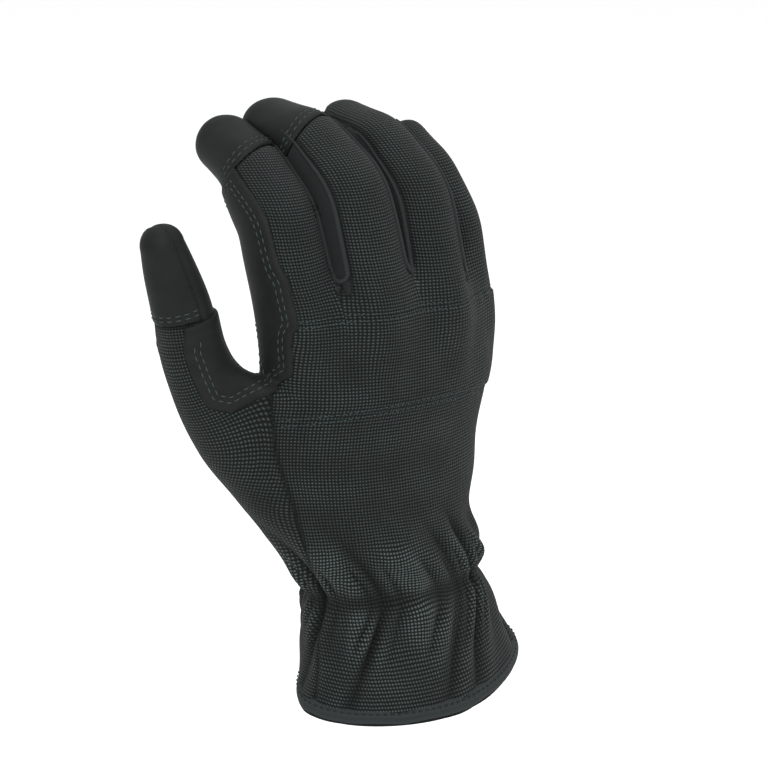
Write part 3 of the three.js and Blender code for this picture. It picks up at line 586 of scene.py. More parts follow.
def seam_line(rows, z):
    x, y, turn = seam_at(rows, z)
    x, y, turn = x * PALM_WIDTH, y * PALM_WIDTH, np.radians(turn)
    wx, wy = -np.cos(turn), -np.sin(turn)
    return [pair(x + wx * reach, y + wy * reach) for reach in (-SEAM_INSET, SEAM_BEYOND)]


def back_field(p, along):
    near_in, near_out = seam_line(LONG_SEAM, along)
    _, oy = seam_at(OUTER_SEAM, along)
    y, far = oy * PALM_WIDTH, np.full(len(p), PALM_WIDTH)
    corners = np.stack([near_in, pair(0 * y, y), pair(far, y), pair(far, -far), pair(near_out[:, 0] - 1, -far),
                        near_out], axis=1)
    return polygon_distance(p[:, 0], p[:, 1], corners)


def side_field(p, along):
    near_in, near_out = seam_line(LONG_SEAM, along)
    heel_in, heel_out = seam_line(HEEL_SEAM, along)
    far = np.full(len(p), PALM_WIDTH * 1.3)
    corners = np.stack([near_in, near_out, pair(-far, -far / 2), pair(-far, far / 2), heel_out, heel_in], axis=1)
    return np.maximum(polygon_distance(p[:, 0], p[:, 1], corners), along - (CUFF_HEIGHT + SIDE_TOP * HAND_HEIGHT))


def sector(px, py, start, end):
    """Signed distance, about, from the sector between two angles in degrees."""
    start, end = np.radians(start), np.radians(end)
    past_start = py * np.cos(start) - px * np.sin(start)
    before_end = px * np.sin(end) - py * np.cos(end)
    return np.maximum(-past_start, -before_end)


class Places:
    """Every point's place on the body, on each finger and on the thumb."""

    def __init__(self, p):
        self.p = p
        self.along, self.bx, self.by = body_place(p)
        self.fingers = [tube.found(p) for tube in TUBES]
        self.fields = np.array([tube.field(p) for tube in TUBES])
        self.thumb, self.thumb_field = THUMB.found(p), THUMB.field(p)
        self.owner = np.argmin(self.fields, axis=0)


def own(places, i):
    """Below zero on a finger's own surface, away from its neighbours and the hand."""
    others = np.delete(places.fields, i, axis=0).min(axis=0)
    return places.fields[i] - np.minimum(others, 1.2)


def strip_field(places, i, side):
    tube, f = TUBES[i], places.fingers[i]
    high = FINGERS[i]["lows"][1 if side > 0 else 0]
    run = tube.run_at([WEB_SHARE, FOURCHETTE_END])
    g = np.maximum.reduce([f["py"] - high * f["b"], FOURCHETTE_LOW * f["b"] - f["py"],
                           0.3 * f["a"] - side * f["px"], run[0] - f["run"], f["run"] - run[1]])
    return np.maximum(g, own(places, i))


def fourchette_field(places, i):
    near, far = (tube.points[np.argmin(np.abs(tube.at - WEB_SHARE))] for tube in TUBES[i:i + 2])
    depth = -FOURCHETTE_LOW * FINGER_DEPTH / 2
    corners = np.array([[near[0] + 3, near[1]], [far[0] - 3, far[1]],
                        [far[0] - 3, far[1] + depth], [near[0] + 3, near[1] + depth]])
    p = places.p
    g = polygon_distance(p[:, 0], p[:, 1], corners[None])
    top = CUFF_HEIGHT + HAND_HEIGHT
    crotch = np.maximum.reduce([g, top - 5 - p[:, 2], p[:, 2] - top - 4])
    return np.minimum.reduce([crotch, strip_field(places, i, 1), strip_field(places, i + 1, -1)])


def thumb_own(places):
    return places.thumb_field - np.minimum(places.fields.min(axis=0), 6)


def thumb_part(places, start):
    """The back of the thumb from a share of its length on."""
    t = places.thumb
    sides = sector(t["px"], t["py"], THUMB_NEAR, THUMB_FAR)
    return np.maximum.reduce([THUMB.run_at(start) - t["run"], sides, thumb_own(places)])


def finger_back(places, i):
    f = places.fingers[i]
    low, far = FINGERS[i]["lows"]
    share = np.clip((f["px"] / f["a"] + 1.5) / 3, 0, 1)
    g = (low + (far - low) * share) * f["b"] - f["py"]
    return np.maximum.reduce([g, TUBES[i].run_at(FINGER_BACK_FROM) - f["run"], own(places, i)])


def patch_field(places):
    p = places.p
    corners = PATCH_OUTLINE * [PALM_WIDTH, HAND_HEIGHT] + [0, CUFF_HEIGHT]
    flat = polygon_distance(p[:, 0], p[:, 2], corners[None]) - PATCH_ROUND
    top = THUMB.run_at(THUMB_CAP_AT) - 0.6
    flat = np.where(places.thumb_field < 6, np.maximum(flat, places.thumb["run"] - top), flat)
    f = places.fingers[0]
    run = TUBES[0].run_at([PATCH_FROM, PATCH_TO])
    t = np.clip((f["run"] - run[0]) / (run[1] - run[0]), 0, 1)
    sides = sector(f["px"], f["py"], np.interp(t, *PATCH_LOW), PATCH_HIGH)
    along = np.maximum.reduce([sides, run[0] - f["run"], f["run"] - run[1], own(places, 0)])
    return smin(flat, along, 4)


def arc(px, py, a, b):
    """Length along an ellipse from its back centre."""
    angle = np.arctan2(px / a, py / b)
    w = angle[:, None] * ((np.arange(12) + 0.5) / 12)
    return angle * np.mean(np.hypot(a[:, None] * np.cos(w), b[:, None] * np.sin(w)), axis=1)


def carry(outer, inner, weight, near):
    """Goes over from one measure to another, set so that they agree at the near points."""
    inner = inner + np.mean(outer[near] - inner[near])
    return outer * (1 - weight) + inner * weight


def weave_place(places):
    """Two lengths in mm over the cloth: round the hand and along it."""
    a, b = half("width", places.along), half("depth", places.along)
    n = np.sqrt((places.bx / a) ** 2 + (places.by / b) ** 2)
    off = np.hypot(places.bx, places.by) * (1 - 1 / np.maximum(n, 1))
    across = arc(places.bx, places.by, a, b) - off * smooth(-places.bx / 20)
    along = places.along.copy()
    for i, tube in enumerate(TUBES):
        f = places.fingers[i]
        weight = smooth((f["at"] + 0.06) / 0.3) * (places.owner == i)
        near = (np.abs(f["at"] - 0.06) < 0.05) & (np.abs(f["px"]) < 4) & (f["py"] > 0) & (places.owner == i)
        turn = arc(f["px"], f["py"], f["a"], f["b"])
        across = carry(across, turn, weight, near)
        outer_run = f["run"] + f["py"] * np.interp(f["at"], tube.at, tube.turn)
        over = smooth((f["run"] - tube.run[-1]) / (0.8 * tube.tip))
        face = tube.run[-1] + 0.8 * tube.tip + f["b"] * (1 + tube.turn[-1]) - f["py"]
        turn = turn * (1 - over) + f["px"] * over
        outer_run = outer_run * (1 - over) + face * over
        along = carry(along, outer_run, weight, near)
    pull = hump(places.along, GATHER_AT + 3, 22) * smooth((places.fields.min(axis=0) - 1) / 6)
    spot = pair(across, along * 1.3)
    return (across + WEAVE_PULL_ACROSS * pull * noise(spot, 22, 21),
            along + WEAVE_PULL_ALONG * pull * noise(spot, 24, 22))


def side_weave(places):
    """The same two lengths over the thumb's side of the hand."""
    x, y, z = places.p.T
    facing = math.radians(44)
    across = x * math.sin(facing) - y * math.cos(facing)
    along = z + 0.12 * across
    round_hand = arc(places.bx, places.by, half("width", places.along), half("depth", places.along))
    near = (np.abs(z - 62) < 6) & (np.abs(places.by) < 6) & (places.bx < 0)
    across = carry(across, round_hand, 1 - smooth((z - 55) / 40), near)
    t = places.thumb
    turn = arc(t["px"], t["py"], t["a"], t["b"])
    weight = smooth((t["at"] - 0.02) / 0.45)
    near = (np.abs(t["at"] - 0.22) < 0.1) & (places.thumb_field < 3) & (np.abs(turn) < 16)
    across = carry(across, turn, weight, near)
    along = carry(along, t["run"], weight, near)
    return across, along


# Folds of the cloth
def pleat(phase):
    """Rounded folds with narrow valleys between them, from -1 to 1."""
    return 2 * np.abs(np.sin(phase / 2)) ** 0.75 - 1


def fold_height(places, across, along):
    """How far the cloth stands out of its plain form, in mm."""
    z = places.along
    angle = np.arctan2(places.by / half("depth", z), places.bx / half("width", z))
    off_digits = smooth((places.fields.min(axis=0) - 1) / 6) * smooth((places.thumb_field - 2) / 8)
    ring = pair(np.cos(angle), np.sin(angle))
    gap = z - GATHER_AT
    slant = angle - FOLD_SLANT * np.sqrt(gap ** 2 + 16)
    shift = noise(pair(np.cos(slant), np.sin(slant)) * 30, 26, 3)
    weight = 0.75 + 0.55 * noise(np.hstack([ring * 30, gap[:, None] * 0.5]), 20, 5)
    fine = pleat(FINE_FOLDS * slant + 2.8 * shift + 0.5 * noise(ring * 30, 9, 11))
    broad = pleat(BROAD_FOLDS * slant + 2.4 * shift + 1.0)
    pinch = hump(gap, 0, PINCH_WIDE)
    below = hump(gap, -8, 9) * (1 - 0.6 * pinch)
    above = hump(gap, 7, 7) * (1 - 0.6 * pinch)
    h = FINE_HIGH * weight * fine * (below + FINE_ABOVE * above)
    h += BROAD_HIGH * weight * broad * (hump(gap, -11, 12) + BROAD_ABOVE * hump(gap, 12, 11))
    h += BROAD_CUFF * broad * hump(gap, -26, 12)
    h -= PINCH_DEEP * pinch
    h += hump(angle, WRIST_HOLLOW_TURN, 0.5) * (0.5 * hump(gap, 11, 5) - WRIST_HOLLOW * hump(gap, 22, 8))
    wide = noise(pair(across * 0.8 + along * 0.5, along * 1.6 - across * 0.2), 34, 8)
    h += BACK_WAVE * wide * smooth((z - 45) / 20) * smooth((150 - z) / 30)
    return h * off_digits


def knuckle_height(places):
    """The raised band over the knuckles, between its two double rows of stitches."""
    z = places.along
    low, high = knuckle_rows(places)
    side = places.bx / half("width", z)
    band = smooth((z - low + 1.0) / 2.0) * smooth((high + 1.0 - z) / 2.0)
    h = (BAND_HIGH + BAND_OUTER_HIGH * smooth((side - 0.5) / 0.4)) * band
    h -= 0.4 * (hump(z, low, 1.2) + hump(z, high, 1.2))
    pucker = np.cos(places.bx * 2 * math.pi / BAND_PUCKER_PITCH + 1.3)
    return h + BAND_PUCKER * pucker * (hump(z, low, 3) + hump(z, high, 3))


def knuckle_rows(places):
    """Heights of the two rows, which drop towards the sides of the hand."""
    side = places.bx / (PALM_WIDTH / 2)
    drop = 3.2 * side ** 2
    return KNUCKLE_LOW - 1.4 * drop, KNUCKLE_HIGH - drop


# Meshes
def boundary(faces):
    """Edges that belong to one face only, in the face's own turn."""
    edges = edges_of(faces)
    low, high = np.sort(edges, axis=1).T
    order = low.astype(np.int64) * (faces.max() + 1) + high
    _, first, count = np.unique(order, return_index=True, return_counts=True)
    return edges[first[count == 1]]


def search_tree(points):
    tree = kdtree.KDTree(len(points))
    for i, point in enumerate(points):
        tree.insert(point, i)
    tree.balance()
    return tree


def edge_distance(points, faces):
    """How far each point is from its piece's edge."""
    tree = search_tree(points[np.unique(boundary(faces))])
    return np.array([tree.find(p)[2] for p in points])


def main_part(mesh):
    """The largest connected part of a mesh, and the rest of it."""
    points, faces, data = mesh
    label = np.arange(len(points))
    while True:
        low = label[faces].min(axis=1)
        fresh = label.copy()
        for m in range(3):
            np.minimum.at(fresh, faces[:, m], low)
        fresh = fresh[fresh]
        if np.array_equal(fresh, label):
            break
        label = fresh
    names, count = np.unique(label[faces[:, 0]], return_counts=True)
    largest = label[faces[:, 0]] == names[np.argmax(count)]
    return compact(points, faces[largest], data), compact(points, faces[~largest], data)


def join(one, other):
    faces = np.vstack([one[1], other[1] + len(one[0])])
    return np.vstack([one[0], other[0]]), faces, np.vstack([one[2], other[2]])


def show(name, block):
    """An object in the scene for a mesh, a lamp or a camera."""
    obj = bpy.data.objects.new(name, block)
    bpy.context.scene.collection.objects.link(obj)
    return obj


def make_mesh(name, points, faces, material, attributes=None):
    mesh = bpy.data.meshes.new(name)
    mesh.vertices.add(len(points))
    mesh.vertices.foreach_set("co", (np.asarray(points) * 0.001).ravel().astype(np.float32))
    faces = np.asarray(faces)
    mesh.loops.add(faces.size)
    mesh.loops.foreach_set("vertex_index", faces.ravel().astype(np.int32))
    mesh.polygons.add(len(faces))
    mesh.polygons.foreach_set("loop_start", np.arange(0, faces.size, faces.shape[1], dtype=np.int32))
    mesh.polygons.foreach_set("use_smooth", np.ones(len(faces), dtype=bool))
    mesh.update(calc_edges=True)
    for key, values in (attributes or {}).items():
        layer = mesh.attributes.new(key, "FLOAT_VECTOR", "POINT")
        layer.data.foreach_set("vector", np.asarray(values).ravel().astype(np.float32))
    mesh.materials.append(material)
    return show(name, mesh)


def thick_piece(name, points, faces, normal, data, thickness, material, fold_shade=None):
    """A closed piece of cloth: outer side, inner side and the edge between them."""
    rim = boundary(faces)
    count = len(points)
    inner = points - normal * thickness
    all_points = np.vstack([points, inner])
    a, b = rim.T
    sides = np.vstack([np.stack([b, a, a + count], 1), np.stack([b, a + count, b + count], 1)])
    all_faces = np.vstack([faces, faces[:, ::-1] + count, sides])
    attributes = {"weave": np.vstack([data, data])}
    # Painted shade of the cloth for each point, carried to its colour
    if fold_shade is not None:
        attributes["fold_shade"] = np.repeat(np.concatenate([fold_shade, fold_shade])[:, None], 3, axis=1)
    return make_mesh(name, all_points, all_faces, material, attributes)


def contour(points, faces, out, values, height):
    """Lines on a mesh along which the values have one height: each a run of points and of outward ways."""
    side = values > height
    hit = faces[(side[faces].sum(axis=1) % 3) != 0]
    place, links = {}, {}
    for tri in hit.tolist():
        keys = []
        for m in range(3):
            a, b = sorted((tri[m], tri[(m + 1) % 3]))
            if side[a] != side[b]:
                t = (height - values[a]) / (values[b] - values[a])
                place[(a, b)] = np.hstack([points[a] * (1 - t) + points[b] * t, out[a] * (1 - t) + out[b] * t])
                keys.append((a, b))
        links.setdefault(keys[0], []).append(keys[1])
        links.setdefault(keys[1], []).append(keys[0])
    lines = []
    left = dict.fromkeys(links)
    for start in [k for k in links if len(links[k]) == 1] + list(links):
        if start not in left:
            continue
        line = [start]
        del left[start]
        while True:
            step = [k for k in links[line[-1]] if k in left]
            if not step:
                break
            line.append(step[0])
            del left[step[0]]
        if len(line) > 6:
            rows = np.array([place[k] for k in line])
            lines.append((rows[:, :3], rows[:, 3:]))
    return lines


def rings(line, side, out, size, count):
    """A ring of points round each point of a line."""
    turns = np.linspace(0, 2 * math.pi, count, endpoint=False)
    ring = np.cos(turns)[None, :, None] * side[:, None] + np.sin(turns)[None, :, None] * out[:, None]
    return (line[:, None] + ring * size[:, None, None]).reshape(-1, 3)


def ring_faces(rows, k):
    """Faces between rings of k points, closed at both ends."""
    start, turn = np.arange(rows)[:, None] * k, np.arange(k)[None]
    i0, i1 = (start + turn).ravel(), (start + (turn + 1) % k).ravel()
    last = rows * k
    ends = [[0, m + 1, m] for m in range(1, k - 1)] + [[last, last + m, last + m + 1] for m in range(1, k - 1)]
    return np.vstack([np.stack([i0, i1, i1 + k], 1), np.stack([i0, i1 + k, i0 + k], 1), ends])


def stitch_row(line, out, pitch=3.1, length=2.2, radius=0.22, raise_by=0.16):
    """Thread along a line, one rounded stitch after another, each dipping into the cloth at its ends."""
    run = run_of(line)
    count = int(run[-1] / pitch)
    if count < 1:
        return []
    step = run[-1] / count
    made = []
    for k in range(count):
        t = np.clip((k + 0.5) * step + np.linspace(-0.5, 0.5, 5) * length, 0, run[-1])
        up = unit(read_off(t, run, out))
        place = read_off(t, run, line) + up * (raise_by * STITCH_RISE)[:, None]
        ahead = place[-1] - place[0]
        size = np.linalg.norm(ahead)
        if size < 0.6 * length:
            continue
        made.append(rings(place, np.cross(ahead / size, up), up, radius * STITCH_GIRTH, STITCH_SIDES))
    return made


def declare(obj, nodes):
    """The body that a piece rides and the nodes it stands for."""
    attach(obj, "root")
    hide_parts(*nodes)


def thread_piece(name, stitches, material, node):
    points = np.vstack(stitches)
    faces = ring_faces(len(STITCH_GIRTH) - 1, STITCH_SIDES)
    faces = np.vstack([faces + len(stitches[0]) * k for k in range(len(stitches))])
    declare(make_mesh(name, points, faces, material), [node])


# Materials
class Nodes:
    def __init__(self, name):
        self.material = bpy.data.materials.new(name)
        self.material.use_nodes = True
        self.tree = self.material.node_tree
        self.shader = self.tree.nodes["Principled BSDF"]

    def add(self, kind, **values):
        node = self.tree.nodes.new(kind)
        for key, value in values.items():
            setattr(node, key, value)
        return node

    def link(self, out, into):
        self.tree.links.new(out, into)

    def math(self, operation, a, b=None, c=None):
        node = self.add("ShaderNodeMath", operation=operation)
        for i, value in enumerate((a, b, c)):
            if isinstance(value, (int, float)):
                node.inputs[i].default_value = value
            elif value is not None:
                self.link(value, node.inputs[i])
        return node.outputs[0]

    def noise(self, vector, scale, detail):
        node = self.add("ShaderNodeTexNoise")
        node.inputs["Scale"].default_value = scale
        node.inputs["Detail"].default_value = detail
        if vector is not None:
            self.link(vector, node.inputs["Vector"])
        return node.outputs["Fac"]

    def ramp(self, fac, stops):
        node = self.add("ShaderNodeValToRGB")
        while len(node.color_ramp.elements) < len(stops):
            node.color_ramp.elements.new(0.5)
        for element, (at, color) in zip(node.color_ramp.elements, stops):
            element.position = at
            element.color = (*color, 1)
        self.link(fac, node.inputs["Fac"])
        return node.outputs["Color"]

    def bump(self, height, distance, strength):
        node = self.add("ShaderNodeBump")
        node.inputs["Distance"].default_value = distance
        node.inputs["Strength"].default_value = strength
        self.link(height, node.inputs["Height"])
        self.link(node.outputs["Normal"], self.shader.inputs["Normal"])

    def times(self, one, other):
        return self.math("MULTIPLY", one, other)

    def weave(self):
        """The mesh's own lengths across and along the cloth, in mm."""
        return self.add("ShaderNodeAttribute", attribute_name="weave").outputs["Vector"]

    def parts(self, vector):
        split = self.add("ShaderNodeSeparateXYZ")
        self.link(vector, split.inputs[0])
        return split.outputs[0], split.outputs[1]

    def blend(self, one, share, other, other_share):
        return self.math("ADD", self.times(one, share), self.times(other, other_share))

    def wave(self, length, pitch):
        """Ridges from 0 to 1, one for each pitch."""
        sine = self.math("SINE", self.times(length, 2 * math.pi / pitch))
        return self.math("MULTIPLY_ADD", sine, 0.5, 0.5)

    def paint(self, tone, *stops):
        self.link(self.ramp(tone, stops), self.shader.inputs["Base Color"])

    def finish(self, **values):
        """Plain numbers of the shader, by name."""
        for key, value in values.items():
            self.shader.inputs[key.replace("_", " ")].default_value = value


def rgb(*screen):
    """A shader's colour from a screen's, 0 to 255."""
    return [v / 255 / 12.92 if v < 10 else ((v / 255 + 0.055) / 1.055) ** 2.4 for v in screen]


def ribbed_fabric(name):
    """Waffle of light nubs on a dark ground, the nub tops partly painted highlight and the ground partly painted
    shade; painted shade also makes it lighter on the folds and darker between them.
    """
    n = Nodes(name)
    place, pitch = n.weave(), 1.14
    u, v = n.parts(place)
    wobble = n.noise(place, 0.35, 2)
    u = n.math("ADD", u, n.times(wobble, 0.5))
    v = n.math("ADD", v, n.times(wobble, 0.4))
    nub = n.times(n.math("POWER", n.wave(u, pitch), 0.32), n.math("POWER", n.wave(v, pitch), 0.5))
    patchy = n.noise(place, 0.08, 3)
    fibre = n.noise(place, 3.2, 2)
    tone = n.blend(nub, 0.75, fibre, 0.25)
    tone = n.math("ADD", tone, n.times(n.math("SUBTRACT", patchy, 0.5), 0.18))
    # Painted shade: the tone is lighter on fold crests and darker in fold valleys, on the cuff and at seams
    fold_shade = n.add("ShaderNodeAttribute", attribute_name="fold_shade")
    tone = n.times(tone, n.math("MULTIPLY_ADD", fold_shade.outputs["Fac"], 0.16, 1.0))
    # The knit's own nub pattern: its light nub tops are partly painted highlight, and the dark ground between them
    # is partly painted shade
    n.paint(tone, (0.0, rgb(3, 5, 5)), (0.38, rgb(8, 11, 10)), (0.72, rgb(31, 37, 36)), (1.0, rgb(68, 77, 75)))
    n.finish(Roughness=0.85, Sheen_Weight=0.03, Sheen_Roughness=0.5, Specular_IOR_Level=0.12)
    n.bump(n.math("ADD", nub, n.times(fibre, 0.15)), 0.00035, 0.8)
    return n.material


def soft_leather(name, base):
    n = Nodes(name)
    place = n.weave()
    grain = n.add("ShaderNodeTexVoronoi", feature="F1")
    grain.inputs["Scale"].default_value = 1.9
    n.link(place, grain.inputs["Vector"])
    fine = n.noise(place, 3.5, 3)
    broad = n.noise(place, 0.12, 3)
    tone = n.blend(broad, 0.7, fine, 0.3)
    n.paint(tone, (0.25, [v * 0.75 for v in base]), (0.75, [v * 1.35 for v in base]))
    n.link(n.math("MULTIPLY_ADD", fine, 0.16, 0.54), n.shader.inputs["Roughness"])
    n.finish(Sheen_Weight=0.01, Sheen_Roughness=0.4, Specular_IOR_Level=0.1)
    n.bump(n.blend(grain.outputs["Distance"], 0.6, fine, 0.4), 0.00012, 0.7)
    return n.material


def fine_twill(name, dark, light, pitch=0.7):
    n = Nodes(name)
    place = n.weave()
    slant = n.wave(n.math("ADD", *n.parts(place)), pitch)
    tone = n.blend(slant, 0.6, n.noise(place, 2.5, 2), 0.4)
    n.paint(tone, (0.1, dark), (0.9, light))
    n.finish(Roughness=0.8, Sheen_Weight=0.03, Specular_IOR_Level=0.15)
    n.bump(tone, 0.00015, 0.7)
    return n.material


def thread(name, color):
    n = Nodes(name)
    fibre = n.noise(None, 900, 2)
    n.paint(fibre, (0.3, [v * 0.6 for v in color]), (0.7, color))
    n.finish(Roughness=0.6, Specular_IOR_Level=0.2)
    n.bump(fibre, 0.0001, 0.6)
    return n.material


BACK_CLOTH = ribbed_fabric("back_cloth")
SIDE_CLOTH = ribbed_fabric("side_cloth")
LEATHER = soft_leather("leather", rgb(18, 21, 20))
TWILL = fine_twill("twill", rgb(9, 11, 11), rgb(26, 30, 30))
ROLL = fine_twill("rolled_twill", rgb(11, 14, 14), rgb(38, 43, 43))
TAPE = fine_twill("tape", rgb(17, 21, 22), rgb(42, 47, 48), 0.9)
THREAD = thread("thread", rgb(50, 64, 62))
CLOTH_THREAD = thread("cloth_thread", rgb(48, 62, 60))
DARK_THREAD = thread("dark_thread", rgb(10, 12, 13))

# Rows of stitches: the measure that they follow, its values at the rows and where they show
def cap_rows(i):
    def rows(q, d):
        f = q.fingers[i]
        return f["run"] - TUBES[i].run_at(CAP_EDGE) + CAP_SLOPE * f["px"], CAP_ROWS_AT, f["py"] + 0.35 * f["b"]
    return rows


def thumb_cap_rows(q, d):
    return q.thumb["run"] - THUMB.run_at(THUMB_CAP_AT), THUMB_ROWS_AT, np.ones(len(q.p))


def patch_rows(q, d):
    on_thumb = (q.thumb_field < 3) & (q.thumb["run"] > THUMB.run_at(THUMB_CAP_AT) - 6.5)
    return d, PATCH_ROWS_AT, np.where(on_thumb, -1.0, 1.0)


# Fields of the pieces, below zero where a piece lies
def cap_part(i):
    def field(q):
        f = q.fingers[i]
        return np.maximum(TUBES[i].run_at(CAP_EDGE) - f["run"] - CAP_SLOPE * f["px"], own(q, i))
    return field


def gusset_part(i):
    return lambda q: fourchette_field(q, i)


def back_part(q):
    hand = np.maximum(back_field(q.p, q.along), q.along - (CUFF_HEIGHT + HAND_HEIGHT))
    return np.minimum.reduce([hand] + [finger_back(q, i) for i in range(4)])


def thumb_cap_part(q):
    return thumb_part(q, THUMB_CAP_AT)


def thumb_back_part(q):
    return np.minimum(side_field(q.p, q.along), thumb_part(q, THUMB_ROOT_AT))


def thumb_front_part(q):
    return np.maximum(THUMB.run_at(THUMB_ROOT_AT) - q.thumb["run"], thumb_own(q))


# Pieces: name, nodes it stands for, where it lies, material, slot, rows of stitches
PIECES = [
    ("index_tip", ["index_cap"], cap_part(0), LEATHER, "leather", cap_rows(0)),
    ("middle_tip", ["middle_cap"], cap_part(1), LEATHER, "leather", cap_rows(1)),
    ("gusset_index_middle", ["fourchette_index_middle"], gusset_part(0), TWILL, "twill", None),
    ("gusset_middle_ring", ["fourchette_middle_ring"], gusset_part(1), TWILL, "twill", None),
    ("gusset_ring_little", ["fourchette_ring_little"], gusset_part(2), TWILL, "twill", None),
    ("thumb_tip", ["thumb_cap"], thumb_cap_part, LEATHER, "leather", thumb_cap_rows),
    ("thumb_side", ["thumb_back"], thumb_back_part, SIDE_CLOTH, "fabric", None),
    ("thumb_inside", ["thumb_front"], thumb_front_part, LEATHER, "leather", None),
    ("back_cloth", ["back_panel", "knuckle_panel", "finger_backs"], back_part, BACK_CLOTH, "fabric", None),
    ("palm_leather", ["palm_panel"], None, LEATHER, "leather", None),
]


def valleys(values, insets, keep, deep):
    """Where rows of stitches pull a surface in."""
    pull = sum(hump(values, inset, 0.5) for inset in insets)
    return -deep * pull * smooth(keep)


def sew(name, pts, fcs, out, values, insets, keep, material, node, slot, **stitch):
    """Rows of stitches on a made surface."""
    stitches = []
    tree = search_tree(pts)
    for inset in insets:
        for line, up in contour(pts, fcs, out, values, inset):
            for made_one in stitch_row(line, up, **stitch):
                if keep[tree.find(made_one.mean(axis=0))[1]] > 0:
                    stitches.append(made_one)
    if stitches:
        thread_piece(name, stitches, material, node)


def gusset_edge(i):
    """Rolled cloth edge round the bottom of the gap between two fingers."""
    sides = []
    for tube, side, turn in ((TUBES[i], 1, GAP_TURNS[0]), (TUBES[i + 1], -1, GAP_TURNS[1])):
        s = np.linspace(GAP_END, GAP_BOTTOM, 60)
        centre, across, dorsal = (read_off(s, tube.at, m) for m in (tube.points, tube.across, tube.dorsal))
        a, b = tube.half(s)
        turn = math.radians(turn)
        wide = tube.wide[1] if side > 0 else tube.wide[0]
        sides.append(centre + across * (side * wide * a * math.cos(turn))[:, None]
                     + dorsal * (b * math.sin(turn))[:, None])
    left, right = sides
    low = (left[-1] + right[-1]) / 2 - [0, 0, 4.5]
    t = np.linspace(0, 1, 14)[1:-1, None]
    bottom = left[-1] * (1 - t) ** 2 + 2 * low * t * (1 - t) + right[-1] * t ** 2
    line = settle(np.vstack([left, bottom, right[::-1]]), 3)
    for _ in range(3):
        line[1:-1] = (line[:-2] + 2 * line[1:-1] + line[2:]) / 4
    grad = np.stack([glove_field(line + e) - glove_field(line - e) for e in np.eye(3) * 0.4], axis=1)
    out = unit(grad)
    side = np.cross(unit(np.gradient(line, axis=0)), out)
    share = np.linspace(0, 1, len(line))
    size = GAP_ROLL * (0.35 + 0.65 * np.minimum(1, 3 * np.minimum(share, 1 - share)))
    count = 10
    pts = rings(line + 0.2 * out, side, out, size, count)
    turns = np.linspace(0, 2 * math.pi, count, endpoint=False)
    weave = np.stack([np.repeat(run_of(line), count), np.tile(turns, len(line)), np.zeros(len(pts))], 1)
    return pts, ring_faces(len(line) - 1, count), weave


def hem_point(angle, out, rise):
    """A point on the cuff's surface near the hem."""
    power = 2 / level("power", rise)
    c, s = (np.sign(v) * np.abs(v) ** power for v in (np.cos(angle), np.sin(angle)))
    x, y = (half("width", rise) + out) * c, (half("depth", rise) + out) * s
    tip = -level("lean", rise) * (s * math.cos(HEM_TURN) - c * math.sin(HEM_TURN))
    return np.stack([level("x", rise) + x, level("y", rise) - y, rise + tip], axis=-1)


def binding():
    """Folded tape round the hem."""
    turns, profile = TAPE_TURNS, []
    for t in np.linspace(0, 2 * math.pi, 22, endpoint=False):
        c, s = math.cos(t), math.sin(t)
        profile.append((TAPE_HALF * np.sign(c) * abs(c) ** 0.6, TAPE_HEIGHT / 2 * np.sign(s) * abs(s) ** 0.7))
    bands = []
    for a in np.linspace(0, 2 * math.pi, turns, endpoint=False):
        wave = 0.35 * math.sin(11 * a + 0.6) + 0.25 * math.sin(17 * a)
        bands.append([hem_point(a, -0.6 + o + 0.15 * wave, TAPE_MIDDLE + v + 0.45 * wave) for o, v in profile])
    bands = np.array(bands)
    k = len(profile)
    i = np.arange(turns)[:, None] * k
    j = np.roll(i, -1, axis=0)
    m = np.arange(k)[None]
    m2 = (m + 1) % k
    faces = np.stack([i + m, j + m, j + m2, i + m2], axis=-1).reshape(-1, 4)
    pts = bands.reshape(-1, 3)
    length = np.cumsum(np.linalg.norm(np.diff(bands[:, 0], axis=0, append=bands[:1, 0]), axis=1))
    weave = np.stack([np.repeat(length, k), np.tile(np.arange(k) * 0.7, turns), np.zeros(turns * k)], 1)
    if inside_out(pts, faces):
        faces = faces[:, ::-1]
    row = np.array([hem_point(a, TAPE_HALF - 0.5, 4.1) for a in np.linspace(0, 2 * math.pi, 500)])
    away = unit((row - row.mean(axis=0)) * [1, 1, 0])
    stitches = stitch_row(row, away, pitch=2.6, length=1.6, radius=0.26, raise_by=0.12)
    thread_piece("binding_thread", stitches, DARK_THREAD, "cuff_binding")
    return make_mesh("hem_tape", pts, faces, TAPE, {"weave": weave})


